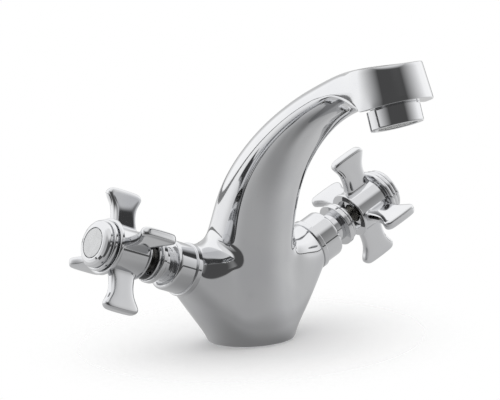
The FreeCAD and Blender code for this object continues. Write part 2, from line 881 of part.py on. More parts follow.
def ceramic_discs(side):
    """The fixed and the moving disc, whose ports meet when the handle is open."""
    fixed_end = fixed_disc_start + size.disc_thickness
    fixed = ring(f"{side.name}_fixed_disc", None, size.disc_bore_radius - size.slip_clearance,
                 fixed_disc_start, fixed_end)
    pierce(fixed, size.disc_port_radius, size.disc_port_ring, DISC_PORTS, fixed_disc_start,
           size.disc_thickness)
    open_angle = side.handle_angle + size.opening_angle.number
    register(fixed, f"{side.name}_fixed_disc", side.placement(open_angle))
    moving = ring(f"{side.name}_moving_disc", None,
                  size.disc_bore_radius - size.running_clearance, moving_disc_start, spindle_start)
    pierce(moving, size.disc_port_radius, size.disc_port_ring, DISC_PORTS, moving_disc_start,
           size.disc_thickness)
    slot_width = size.spindle_lug_width + size.slip_clearance * 2
    slot_depth = size.spindle_lug_height + size.slip_clearance
    slot_length = size.disc_bore_radius * 2
    corner = Vector(-slot_length.number / 2, -slot_width.number / 2,
                    (spindle_start - slot_depth).number)
    add_box(moving, "Subtractive", f"{side.name}_drive_slot", slot_length, slot_width,
            slot_depth, corner)
    register(moving, f"{side.name}_moving_disc", side.placement(side.handle_angle))


def spindle(side):
    """The spindle: driving foot, grooved shaft, square end and tapped hole."""
    shaft = size.spindle_radius
    groove = shaft - size.spindle_groove_depth
    first = spindle_shoulder + size.spindle_seal_start
    second = first + size.spindle_seal_pitch
    clip_end = circlip_start + size.circlip_thickness + size.slip_clearance
    points = [
        (None, spindle_start),
        (size.spindle_foot_radius, spindle_start),
        (size.spindle_foot_radius, spindle_shoulder),
        (shaft, spindle_shoulder),
    ]
    for start, width in ((first, size.spindle_groove_width), (second, size.spindle_groove_width),
                         (circlip_start - size.slip_clearance, clip_end - circlip_start)):
        end = start + width
        points += [(shaft, start), (groove, start), (groove, end), (shaft, end)]
    points += [(shaft, square_start), (None, square_start)]
    body = turned(f"{side.name}_spindle", points)
    half = size.spindle_square.number / 2
    add_box(body, "Additive", f"{side.name}_square", size.spindle_square, size.spindle_square,
            size.handle_socket_depth, Vector(-half, -half, square_start.number))
    corner = Vector(-size.spindle_lug_length.number / 2, -size.spindle_lug_width.number / 2,
                    (spindle_start - size.spindle_lug_height).number)
    add_box(body, "Additive", f"{side.name}_lug", size.spindle_lug_length,
            size.spindle_lug_width, size.spindle_lug_height, corner)
    tapping = size.handle_screw_radius + size.slip_clearance
    depth = size.handle_screw_length
    add_cylinder(body, "Subtractive", f"{side.name}_tapping", tapping, depth,
                 Vector(0, 0, (spindle_top - depth).number))
    register(body, f"{side.name}_spindle", side.placement(side.handle_angle))


def spindle_fittings(side):
    """The O-rings on the spindle, the washer under its shoulder and its circlip."""
    groove = size.spindle_radius - size.spindle_groove_depth
    cord = (size.spindle_groove_depth - size.slip_clearance) / 2
    centre = groove + size.slip_clearance + cord
    first = spindle_shoulder + size.spindle_seal_start + size.spindle_groove_width / 2
    rings = []
    for number, station in enumerate((first, first + size.spindle_seal_pitch), start=1):
        torus = doc.addObject("Part::Torus", f"{side.name}_spindle_seal_{number}")
        torus.setExpression("Radius1", centre.formula)
        torus.setExpression("Radius2", cord.formula)
        torus.Placement = Placement(Vector(0, 0, station.number), Rotation())
        rings.append(torus)
    pair = doc.addObject("Part::Compound", f"{side.name}_spindle_seals")
    pair.Links = rings
    doc.recompute()
    register(pair, f"{side.name}_spindle_seals", side.placement())
    washer = ring(f"{side.name}_thrust_washer", size.spindle_radius + size.running_clearance,
                  size.disc_bore_radius - size.slip_clearance, thrust_washer_start, valve_shoulder)
    register(washer, f"{side.name}_thrust_washer", side.placement())
    opened = WHOLE_TURN - size.circlip_opening.number
    clip = ring(f"{side.name}_circlip", groove + size.slip_clearance, size.circlip_radius,
                circlip_start, circlip_start + size.circlip_thickness, opened)
    register(clip, f"{side.name}_circlip", side.placement(side.handle_angle))


def bowed(start, end, radius, outward):
    """An arc between two points of the XZ plane, bowed to its right or to its left."""
    chord = end - start
    right = Vector(chord.z, 0, -chord.x).normalize()
    bow = radius - math.sqrt(radius ** 2 - (chord.Length / 2) ** 2)
    middle = (start + end) / 2 + right * (bow if outward else -bow)
    return Part.Arc(start, middle, end).toShape()


def handle_arm():
    """One fishtail arm: hollow sides, a crowned tip wider than the root, round edges."""
    middle = (hub_rear + size.hub_length / 2 + size.arm_offset).number
    root = (size.hub_radius - size.arm_edge_round * 2).number
    tip = size.arm_tip_radius.number
    half_root = size.arm_root_width.number / 2
    half_tip = size.arm_tip_width.number / 2
    half_thickness = size.arm_thickness.number / 2
    low_root = Vector(root, -half_thickness, middle - half_root)
    low_tip = Vector(tip, -half_thickness, middle - half_tip)
    high_tip = Vector(tip, -half_thickness, middle + half_tip)
    high_root = Vector(root, -half_thickness, middle + half_root)
    outline = Part.Wire([
        bowed(low_root, low_tip, size.arm_side_radius.number, False),
        bowed(low_tip, high_tip, size.arm_tip_crown.number, True),
        bowed(high_tip, high_root, size.arm_side_radius.number, False),
        Part.makeLine(high_root, low_root),
    ])
    arm = Part.Face(outline).extrude(Vector(0, size.arm_thickness.number, 0))
    corners = [edge for edge in arm.Edges
               if edge.BoundBox.YLength > half_thickness and edge.BoundBox.XMin > half_tip + root]
    arm = arm.makeFillet(size.arm_corner_round.number, corners)
    rims = [edge for edge in arm.Edges
            if edge.BoundBox.YLength < half_thickness and edge.BoundBox.XLength > 0
            and edge.BoundBox.XMax > root + half_thickness]
    return arm.makeFillet(size.arm_edge_round.within(size.arm_thickness / 2).number, rims)


def handle_hub(name):
    """The hub with its rear bead and the two stepped beads behind the nose."""
    rear_bead_end = hub_rear + size.rear_bead_width
    outer_bead_end = hub_front + size.bead_width
    inner_bead_end = inner_bead_start + size.bead_width
    hub = turned(f"{name}_hub", [
        (None, hub_rear),
        (size.rear_bead_radius, hub_rear),
        (size.rear_bead_radius, rear_bead_end),
        (size.hub_radius, rear_bead_end),
        (size.hub_radius, hub_front),
        (size.outer_bead_radius, hub_front),
        (size.outer_bead_radius, outer_bead_end),
        (size.bead_groove_radius, outer_bead_end),
        (size.bead_groove_radius, inner_bead_start),
        (size.inner_bead_radius, inner_bead_start),
        (size.inner_bead_radius, inner_bead_end),
        (size.bead_groove_radius, inner_bead_end),
        (size.bead_groove_radius, cap_seat),
        (None, cap_seat),
    ])
    beads = circles_at(
        (size.outer_bead_radius, hub_front), (size.outer_bead_radius, outer_bead_end),
        (size.inner_bead_radius, inner_bead_start), (size.inner_bead_radius, inner_bead_end))
    round_edges(hub, size.bead_round.within(size.bead_width / 2), beads)
    rear_rim = circles_at((size.rear_bead_radius, hub_rear))
    round_edges(hub, size.rear_bead_round.within(size.rear_bead_width), rear_rim)
    return hub


def handle_bores(name):
    """The rear recess, the square socket, the screw hole and the cavity under the cap."""
    up = Vector(0, 0, 1)
    square = size.spindle_square + size.slip_clearance * 2
    socket = doc.addObject("Part::Box", f"{name}_socket")
    socket.setExpression("Length", square.formula)
    socket.setExpression("Width", square.formula)
    socket.setExpression("Height", size.handle_socket_depth.formula)
    half = square.number / 2
    socket.Placement = Placement(Vector(-half, -half, square_start.number), Rotation())
    screw_hole = size.handle_screw_radius + size.slip_clearance
    cavity = size.cap_skirt_radius + size.slip_clearance
    return joined(f"{name}_bores", [
        socket,
        drilling(f"{name}_recess", size.rear_recess_radius, size.rear_recess_depth,
                 Vector(0, 0, hub_rear.number), up),
        drilling(f"{name}_screw_hole", screw_hole, size.handle_web + size.slip_clearance,
                 Vector(0, 0, spindle_top.number), up),
        drilling(f"{name}_cavity", cavity, cap_seat - screw_seat,
                 Vector(0, 0, screw_seat.number), up),
    ])


def handle(side):
    """The cross handle: four arms on a beaded hub that is hollow for its screw."""
    name = f"{side.name}_handle"
    arm = handle_arm()
    arms = []
    for quarter in range(ARM_COUNT):
        feature = shape_feature(f"{name}_arm_{quarter + 1}", arm)
        feature.Placement = Placement(Vector(), Rotation(Vector(0, 0, 1), WHOLE_TURN / ARM_COUNT * quarter))
        arms.append(feature)
    cross = joined(f"{name}_cross", [handle_hub(name)] + arms)
    doc.recompute()
    hub_radius = size.hub_radius.number
    reach = size.arm_tip_width.number / 2
    middle = (hub_rear + size.hub_length / 2).number

    def at_root(edge):
        on_hub = all(abs(math.hypot(end.X, end.Y) - hub_radius) < size.face_clearance.number
                     for end in edge.Vertexes)
        return on_hub and not edge.Closed and abs(edge.CenterOfMass.z - middle) < reach \
            and edge.Curve.TypeId != "Part::GeomCircle"

    rooted = doc.addObject("Part::Fillet", f"{name}_rooted")
    rooted.Base = cross
    radius = size.arm_root_round.number
    rooted.Edges = [(number, radius, radius)
                    for number, edge in enumerate(cross.Shape.Edges, start=1) if at_root(edge)]
    finished = doc.addObject("Part::Cut", name)
    finished.Base = rooted
    finished.Tool = handle_bores(name)
    doc.recompute()
    register(finished, name, side.placement(side.handle_angle))


def handle_screw(side):
    """The screw that holds the handle on the spindle."""
    head_end = screw_seat + size.handle_screw_head_height
    length = size.handle_screw_length + size.handle_web
    tail = screw_seat - length + size.slip_clearance
    body = turned(f"{side.name}_handle_screw", [
        (None, tail),
        (size.handle_screw_radius, tail),
        (size.handle_screw_radius, screw_seat),
        (size.handle_screw_head_radius, screw_seat),
        (size.handle_screw_head_radius, head_end),
        (None, head_end),
    ])
    register(body, f"{side.name}_handle_screw", side.placement(side.handle_angle))


def index_cap(side):
    """The convex nose ring that closes the hub, and the index disc set into it."""
    floor = cap_front - size.index_disc_thickness
    skirt_end = cap_seat - size.cap_skirt_length
    edge = cap_seat + size.cap_edge_height
    pocket = size.index_disc_radius + size.slip_clearance
    body = turned(f"{side.name}_index_cap", [
        (None, skirt_end),
        (size.cap_skirt_radius, skirt_end),
        (size.cap_skirt_radius, cap_seat),
        (size.cap_radius, cap_seat),
        (size.cap_radius, edge),
        (size.cap_face_radius, cap_front),
        (pocket, cap_front),
        (pocket, floor),
        (None, floor),
    ])
    round_edges(body, size.cap_edge_round.within(size.cap_edge_height),
                circles_at((size.cap_radius, edge), (size.cap_face_radius, cap_front)))
    register(body, f"{side.name}_index_cap", side.placement(side.handle_angle))
    disc = ring(f"{side.name}_index_disc", None, size.index_disc_radius, floor, cap_front)
    register(disc, f"{side.name}_index_disc", side.placement(side.handle_angle))


def build():
    """Models every sub-part."""
    body_casting()
    base_seal()
    aerator()
    for side in SIDES:
        bonnet(side)
        collar(side)
        valve_body(side)
        valve_seals(side)
        ceramic_discs(side)
        spindle(side)
        spindle_fittings(side)
        handle(side)
        handle_screw(side)
        index_cap(side)


def check_and_export():
    """Stops on any failed feature or shape, then writes one file per sub-part."""
    doc.recompute()
    failed = [item.Name for item in doc.Objects if {"Invalid", "Error"} & set(item.State)]
    if failed:
        raise RuntimeError(f"failed features: {failed}")
    for label, item in subparts.items():
        if item.Shape.isNull() or not item.Shape.isValid():
            raise RuntimeError(f"bad shape: {label}")
    os.makedirs("parts", exist_ok=True)
    for label, item in subparts.items():
        item.Shape.exportStep(f"parts/{label}.step")
        print(label, len(item.Shape.Solids), round(item.Shape.Volume, 1))


build()
check_and_export()
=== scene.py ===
"""Looks of the basin mixer: smooth casting, turned valve trim, cross handles and chrome.

Pieces are measured in millimetres and degrees, finishes and the studio in metres.
"""

import json
import logging
import math
from dataclasses import dataclass, field, replace
from enum import Enum
from typing import Callable, Iterable, Optional, Sequence

import bmesh
import bpy
from mathutils import Matrix, Vector


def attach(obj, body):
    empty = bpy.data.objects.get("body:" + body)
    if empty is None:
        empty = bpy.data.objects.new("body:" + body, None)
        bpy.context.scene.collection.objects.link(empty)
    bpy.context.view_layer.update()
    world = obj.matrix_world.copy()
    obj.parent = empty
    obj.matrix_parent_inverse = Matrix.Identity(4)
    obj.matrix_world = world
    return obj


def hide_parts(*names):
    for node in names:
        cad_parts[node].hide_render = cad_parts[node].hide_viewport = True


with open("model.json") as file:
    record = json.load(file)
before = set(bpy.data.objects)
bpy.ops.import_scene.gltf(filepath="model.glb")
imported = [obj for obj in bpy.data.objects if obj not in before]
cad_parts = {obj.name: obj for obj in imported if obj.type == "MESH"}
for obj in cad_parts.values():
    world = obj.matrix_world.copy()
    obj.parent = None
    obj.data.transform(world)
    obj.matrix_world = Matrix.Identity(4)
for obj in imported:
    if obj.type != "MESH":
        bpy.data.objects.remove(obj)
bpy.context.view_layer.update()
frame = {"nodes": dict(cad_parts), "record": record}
LOG = logging.getLogger("basin_mixer")
MM = 0.001
MERGE_DISTANCE = 0.002
MASK_EDGE = 0.0001
VALVE_RISE = 25.0
VALVE_TILT = 22.8
Ring = list[Vector]
Corner = tuple[float, float, float]
Triple = tuple[float, float, float]
Span = tuple[float, float]


class Body(Enum):
    """The rigid bodies that pieces ride on."""

    TAP = "tap_body"
    HOT = "hot_turning"
    COLD = "cold_turning"


class Slot(Enum):
    """The record's material slots."""

    CHROME = "polished_chrome"
    SATIN = "satin_nickel"
    BRASS = "brass"
    STEEL = "spring_steel"
    RUBBER = "black_rubber"
    CERAMIC = "white_ceramic"
    ACETAL = "white_acetal"


def valve_axis(sign: int) -> Vector:
    """The outward direction of a valve: +1 is the cold one on +X, -1 the hot one."""
    tilt = math.radians(VALVE_TILT)
    return Vector((sign * math.cos(tilt), 0.0, math.sin(tilt)))


# Shaders

class Value:
    """A shader socket that carries a number, with operators that add Math nodes."""

    def __init__(self, graph: "Graph", socket: bpy.types.NodeSocket) -> None:
        """Keeps the socket and the graph that it belongs to."""
        self.graph = graph
        self.socket = socket

    def math(self, operation: str, *others: "Value | float") -> "Value":
        """Adds one Math node on this value and the others."""
        node = self.graph.add("ShaderNodeMath", {"operation": operation}, dict(enumerate((self, *others))))
        return Value(self.graph, node.outputs[0])

    def __add__(self, other: "Value | float") -> "Value":
        """Sum."""
        return self.math("ADD", other)

    __radd__ = __add__

    def __mul__(self, other: "Value | float") -> "Value":
        """Product."""
        return self.math("MULTIPLY", other)

    __rmul__ = __mul__

    def __sub__(self, other: "Value | float") -> "Value":
        """Difference."""
        return self.math("SUBTRACT", other)

    def __rsub__(self, other: float) -> "Value":
        """Difference from a number."""
        return self * -1.0 + other

    def clamped(self) -> "Value":
        """This value held between 0 and 1."""
        return self.math("MAXIMUM", 0.0).math("MINIMUM", 1.0)

    def step(self, low: float, high: float) -> "Value":
        """A smooth step from 0 at low to 1 at high."""
        node = self.graph.add("ShaderNodeMapRange", {"interpolation_type": "SMOOTHSTEP"},
                              {"Value": self, "From Min": low, "From Max": high})
        return Value(self.graph, node.outputs["Result"])


class Graph:
    """The node tree of one material or of the world."""

    def __init__(self, tree: bpy.types.NodeTree) -> None:
        """Starts from an empty tree."""
        self.tree = tree
        self.tree.nodes.clear()

    def add(self, kind: str, settings: Optional[dict] = None, inputs: Optional[dict] = None) -> bpy.types.Node:
        """Adds a node.

        Args:
            kind: the node's type name.
            settings: its attributes, set first.
            inputs: socket values or links, by socket name or number.

        Returns:
            The new node.
        """
        node = self.tree.nodes.new(kind)
        for name, value in (settings or {}).items():
            setattr(node, name, value)
        for name, value in (inputs or {}).items():
            if isinstance(value, Value):
                value = value.socket
            if isinstance(value, bpy.types.NodeSocket):
                self.tree.links.new(value, node.inputs[name])
            else:
                node.inputs[name].default_value = value
        return node

    def vector(self, operation: str, *inputs: "bpy.types.NodeSocket | Vector") -> bpy.types.Node:
        """Adds one Vector Math node."""
        return self.add("ShaderNodeVectorMath", {"operation": operation}, dict(enumerate(inputs)))

    def coordinates(self) -> bpy.types.NodeSocket:
        """Object coordinates, in metres."""
        return self.add("ShaderNodeTexCoord").outputs["Object"]

    def flat(self) -> bpy.types.NodeSocket:
        """Object coordinates without their height."""
        inputs = {"Vector": self.coordinates(), "Scale": (1.0, 1.0, 0.0)}
        return self.add("ShaderNodeMapping", {}, inputs).outputs[0]

    def noise(self, size: float, detail: float = 2.0) -> Value:
        """Noise about a middle of one half, with blotches of the given width in metres."""
        inputs = {"Vector": self.coordinates(), "Scale": 1.0 / size, "Detail": detail}
        return Value(self, self.add("ShaderNodeTexNoise", {}, inputs).outputs["Fac"])

    def along(self, place: bpy.types.NodeSocket, direction: Vector) -> Value:
        """The reach of a place along a direction."""
        return Value(self, self.vector("DOT_PRODUCT", place, direction).outputs["Value"])

    def bearing(self, place: bpy.types.NodeSocket, direction: Vector) -> Value:
        """The cosine between a place's bearing from the object's origin and a direction."""
        return self.along(self.vector("NORMALIZE", place).outputs[0], direction)

    def from_middle(self) -> Value:
        """The distance from the object's upright middle line, in metres."""
        return Value(self, self.vector("LENGTH", self.flat()).outputs["Value"])

    def within_valve(self, start: float, end: float) -> Value:
        """Masks the stretch between two stations along either valve's axis.

        Args:
            start: the first station, in metres.
            end: the last station.

        Returns:
            1 within the stretch and 0 elsewhere.
        """
        axis = valve_axis(1)
        place = self.vector("ABSOLUTE", self.coordinates()).outputs[0]
        station = self.along(place, axis) - VALVE_RISE * MM * axis.z
        return station.step(start - MASK_EDGE, start) * (1.0 - station.step(end, end + MASK_EDGE))

    def blend(self, share: Value, first: Triple, second: Triple) -> bpy.types.NodeSocket:
        """A colour mixed from two by a value."""
        inputs = {0: share, 6: (*first, 1.0), 7: (*second, 1.0)}
        return self.add("ShaderNodeMix", {"data_type": "RGBA"}, inputs).outputs[2]

    def bump(self, height: Value) -> bpy.types.NodeSocket:
        """A bumped normal from a height in metres."""
        return self.add("ShaderNodeBump", {}, {"Height": height, "Distance": 1.0}).outputs["Normal"]

    def principled(self, **inputs: object) -> None:
        """Adds the Principled shader and its output.

        Args:
            **inputs: the shader's sockets, with Base_Color for Base Color and so on.
        """
        named = {name.replace("_", " "): value for name, value in inputs.items()}
        shader = self.add("ShaderNodeBsdfPrincipled", {}, named)
        self.add("ShaderNodeOutputMaterial", {}, {"Surface": shader.outputs[0]})


def new_material(name: str) -> tuple[bpy.types.Material, Graph]:
    """Adds an empty node material.

    Args:
        name: its name.

    Returns:
        The material and its graph.
    """
    material = bpy.data.materials.new(name)
    material.use_nodes = True
    return material, Graph(material.node_tree)


@dataclass(frozen=True)
class Finish:
    """A metal, rubber, ceramic or plastic finish, its small flaws and, where asked, painted shade along a
    stretch of the valve axis.
    """

    name: str
    colour: Triple
    tint: Triple
    metallic: float
    roughness: float
    spread: float
    blotch: float
    blotch_detail: float = 3.0
    tint_span: Span = (0.35, 0.7)
    wave: float = 0.0
    wave_size: float = 0.02
    grain: float = 0.0
    grain_size: float = 0.0004
    # Painted shade: the stations along the valve axis, in metres, where the plating is darkened to stand in
    # for the shade in the gap between collar and hub, and the dark colour painted there.
    painted_shade_span: Optional[Span] = None
    painted_shade_colour: Triple = (0.1, 0.1, 0.102)

    def material(self) -> bpy.types.Material:
        """Builds the finish once and returns it afterwards.

        Returns:
            The material.
        """
        known = bpy.data.materials.get(self.name)
        if known is not None:
            return known
        material, graph = new_material(self.name)
        blotches = graph.noise(self.blotch, self.blotch_detail)
        height = graph.noise(self.wave_size, 0.0) * self.wave + graph.noise(self.grain_size) * self.grain
        share, second = blotches.step(*self.tint_span), self.tint
        # Painted shade: within the stretch along the valve axis, the dark shade colour replaces the blotchy
        # tint.
        if self.painted_shade_span:
            share, second = graph.within_valve(*self.painted_shade_span), self.painted_shade_colour
        graph.principled(
            Base_Color=graph.blend(share, self.colour, second),
            Metallic=self.metallic,
            Roughness=(blotches * self.spread + (self.roughness - self.spread / 2)).clamped(),
            Normal=graph.bump(height),
        )
        return material


CHROME = Finish("chrome_plate", colour=(0.64, 0.645, 0.655), tint=(0.615, 0.62, 0.635), metallic=1.0,
                roughness=0.05, spread=0.03, blotch=0.02, wave=0.00001, grain=0.0000002, grain_size=0.0015)
# Chrome with painted shade: the collar's top, which faces the gap under the handle's hub, is darkened as if in
# shade.
CHROME_WITH_PAINTED_SHADE = replace(CHROME, name="chrome_with_painted_recess_shade", painted_shade_span=(0.0651, 0.0708))
SATIN = Finish("satin_plate", colour=(0.50, 0.505, 0.51), tint=(0.47, 0.475, 0.48), metallic=1.0,
               roughness=0.3, spread=0.06, blotch=0.004)
NICKEL = Finish("nickel_plated_brass", colour=(0.50, 0.49, 0.46), tint=(0.42, 0.41, 0.38), metallic=1.0,
                roughness=0.22, spread=0.1, blotch=0.003, grain=0.000002, grain_size=0.0003)
STEEL = Finish("stainless_spring", colour=(0.55, 0.56, 0.57), tint=(0.48, 0.49, 0.50), metallic=1.0,
               roughness=0.25, spread=0.1, blotch=0.003, grain=0.000002, grain_size=0.0003)
RUBBER = Finish("moulded_rubber", colour=(0.02, 0.02, 0.021), tint=(0.03, 0.03, 0.031), metallic=0.0,
                roughness=0.6, spread=0.15, blotch=0.003, grain=0.00001)
CERAMIC = Finish("lapped_ceramic", colour=(0.88, 0.88, 0.85), tint=(0.84, 0.84, 0.80), metallic=0.0,
                 roughness=0.2, spread=0.1, blotch=0.004, grain=0.000002, grain_size=0.0003)
ACETAL = Finish("moulded_acetal", colour=(0.80, 0.80, 0.78), tint=(0.74, 0.74, 0.72), metallic=0.0,
                roughness=0.45, spread=0.1, blotch=0.004, grain=0.000006)
NODE_FINISHES = {
    Slot.CHROME: CHROME,
    Slot.SATIN: SATIN,
    Slot.BRASS: NICKEL,
    Slot.STEEL: STEEL,
    Slot.RUBBER: RUBBER,
    Slot.CERAMIC: CERAMIC,
    Slot.ACETAL: ACETAL,
}


# Modelling

def key(place: Vector) -> tuple[int, int, int]:
    """A place in metres, rounded so that it can be looked up."""
    return tuple(round(value * 1e6) for value in place)


class Modeller:
    """Edit-mode work on one mesh object that starts from a circle primitive."""

    def __init__(self, name: str, ring: Ring) -> None:
        """Adds the circle and places its points.

        Args:
            name: the object's name.
            ring: the places of the points.
        """
        bpy.ops.object.select_all(action="DESELECT")
        bpy.ops.mesh.primitive_circle_add(vertices=len(ring), radius=MM, location=(0.0, 0.0, 0.0))
        self.obj = bpy.context.active_object
        self.obj.name = self.obj.data.name = name
        bpy.ops.object.mode_set(mode="EDIT")
        bpy.ops.mesh.select_mode(type="VERT")
        bpy.ops.mesh.select_all(action="SELECT")
        for vertex, place in zip(self.mesh().verts, ring):
            vertex.co = place * MM
        self.open_ring = list(range(len(ring)))
        self.show()

    def mesh(self) -> bmesh.types.BMesh:
        """Brings the numbering of the edit mesh up to date.

        Returns:
            The edit mesh.
        """
        mesh = bmesh.from_edit_mesh(self.obj.data)
        mesh.verts.index_update()
        mesh.verts.ensure_lookup_table()
        return mesh

    def show(self) -> None:
        """Writes the edit mesh back."""
        bmesh.update_edit_mesh(self.obj.data)

    def extrude_to(self, ring: Ring) -> None:
        """Extrudes the open ring and places the new points.

        Args:
            ring: the places of the new points.
        """
        bpy.ops.mesh.extrude_region()
        mesh = self.mesh()
        earlier = set(self.open_ring)
        following = []
        for number, place in zip(self.open_ring, ring):
            old = mesh.verts[number]
            new = next(other for other in (edge.other_vert(old) for edge in old.link_edges)
                       if other.select and other.index not in earlier)
            new.co = place * MM
            following.append(new.index)
        self.open_ring = following
        self.show()

    def select(self, kind: str, test: Callable[[object], bool]) -> int:
        """Selects edges or faces by a test and nothing else.

        Args:
            kind: EDGE or FACE.
            test: tells which elements are wanted.

        Returns:
            The number of selected elements.
        """
        bpy.ops.mesh.select_mode(type=kind)
        bpy.ops.mesh.select_all(action="DESELECT")
        mesh = self.mesh()
        chosen = [element for element in {"EDGE": mesh.edges, "FACE": mesh.faces}[kind] if test(element)]
        for element in chosen:
            element.select_set(True)
        mesh.select_flush_mode()
        self.show()
        return len(chosen)

    def cap(self) -> None:
        """Closes the selected ring with a face."""
        bpy.ops.mesh.edge_face_add()

    def crease(self, weight_of: Callable[[Vector, Vector], float]) -> None:
        """Creases every edge.

        Args:
            weight_of: gives the crease of an edge from its two ends.
        """
        mesh = self.mesh()
        layers = mesh.edges.layers.float
        layer = layers.get("crease_edge") or layers.new("crease_edge")
        for edge in mesh.edges:
            edge[layer] = weight_of(*(vertex.co / MM for vertex in edge.verts))
        self.show()

    def done(self, subdivisions: int = 0, smooth_angle: float = 35.0) -> bpy.types.Object:
        """Merges doubles, turns the faces outward, subdivides and smooths.

        Args:
            subdivisions: subdivision levels to apply.
            smooth_angle: edges sharper than this stay sharp.

        Returns:
            The finished object.
        """
        bpy.ops.mesh.select_all(action="SELECT")
        bpy.ops.mesh.remove_doubles(threshold=MM * MERGE_DISTANCE)
        bpy.ops.mesh.normals_make_consistent(inside=False)
        bpy.ops.object.mode_set(mode="OBJECT")
        if subdivisions:
            modifier = self.obj.modifiers.new("subdivide", "SUBSURF")
            modifier.levels = modifier.render_levels = subdivisions
            bpy.ops.object.modifier_apply(modifier=modifier.name)
        bpy.ops.object.shade_smooth_by_angle(angle=math.radians(smooth_angle))
        return self.obj


def circle(radius: float, station: float, count: int) -> Ring:
    """A ring of points about Z."""
    step = math.tau / count
    return [Vector((radius * math.cos(step * i), radius * math.sin(step * i), station)) for i in range(count)]


def softened(corners: Sequence[Corner], arc_steps: int = 4, run_share: float = 0.48, long_run: float = 3.0,
             support_gap: float = 0.3) -> list[Span]:
    """Rounds the corners of a turned profile and puts a support point beside each arc.

    Args:
        corners: radius, station and rounding of each corner.
        arc_steps: steps along each rounding.
        run_share: the most of a straight run that one rounding takes.
        long_run: a run this many times as long as the rounding's reach gets a support point.
        support_gap: the support point's distance from the arc, in reaches.

    Returns:
        The points of the profile as radius and station.
    """
    points: list[Vector] = []
    for number, (radius, station, rounding) in enumerate(corners):
        here = Vector((radius, station))
        if rounding <= 0.0:
            points.append(here)
            continue
        before = Vector(corners[number - 1][:2]) - here
        after = Vector(corners[number + 1][:2]) - here
        reach = min(rounding / math.tan(before.angle(after) / 2), before.length * run_share,
                    after.length * run_share)
        start, end = here + before.normalized() * reach, here + after.normalized() * reach
        if before.length > long_run * reach:
            points.append(start + before.normalized() * reach * support_gap)
        for step in range(arc_steps + 1):
            share = step / arc_steps
            points.append(start * (1 - share) ** 2 + here * (2 * share * (1 - share)) + end * share ** 2)
        if after.length > long_run * reach:
            points.append(end + after.normalized() * reach * support_gap)
    return [(point.x, point.y) for point in points]


def turned(name: str, corners: Sequence[Corner], count: int = 160) -> bpy.types.Object:
    """Turns a piece about Z by extruding a circle along a profile.

    Args:
        name: the object's name.
        corners: radius, station and rounding of each profile corner.
        count: points round the circle.

    Returns:
        The finished object.
    """
    profile = softened(corners)
    modeller = Modeller(name, circle(*profile[0], count))
    for radius, station in profile[1:]:
        modeller.extrude_to(circle(radius, station, count))
    return modeller.done()


def placed_copy(source: bpy.types.Object, name: str, matrix: Matrix) -> bpy.types.Object:
    """Copies a piece with its mesh and moves the copy inside its mesh.

    Args:
        source: the piece to copy.
        name: the copy's name.
        matrix: where the copy goes.

    Returns:
        The copy.
    """
    copy = source.copy()
    copy.data = source.data.copy()
    copy.name = copy.data.name = name
    copy.data.transform(matrix)
    bpy.context.scene.collection.objects.link(copy)
    return copy


def dress(obj: bpy.types.Object, finish: Finish) -> None:
    """Gives a piece or node its material."""
    obj.data.materials.clear()
    obj.data.materials.append(finish.material())


def hand_in(obj: bpy.types.Object, body: Body, finish: Finish, nodes: Iterable[str]) -> None:
    """Dresses a finished piece and ties it to its body.

    Args:
        obj: the piece.
        body: the body that it rides on.
        finish: its material.
        nodes: CAD nodes that it stands for.
    """
    dress(obj, finish)
    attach(obj, body.value)
    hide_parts(*nodes)
    LOG.info("%s rides on %s, %d faces", obj.name, body.value, len(obj.data.polygons))


# The casting

@dataclass
class Station:
    """One section of the spout: its shares of the two bends, its half sizes and its form."""

    lower: float
    upper: float
    half_width: float
    half_depth: float
    fullness: float = 0.62
    drop: float = 0.0
    underside: Optional[float] = None


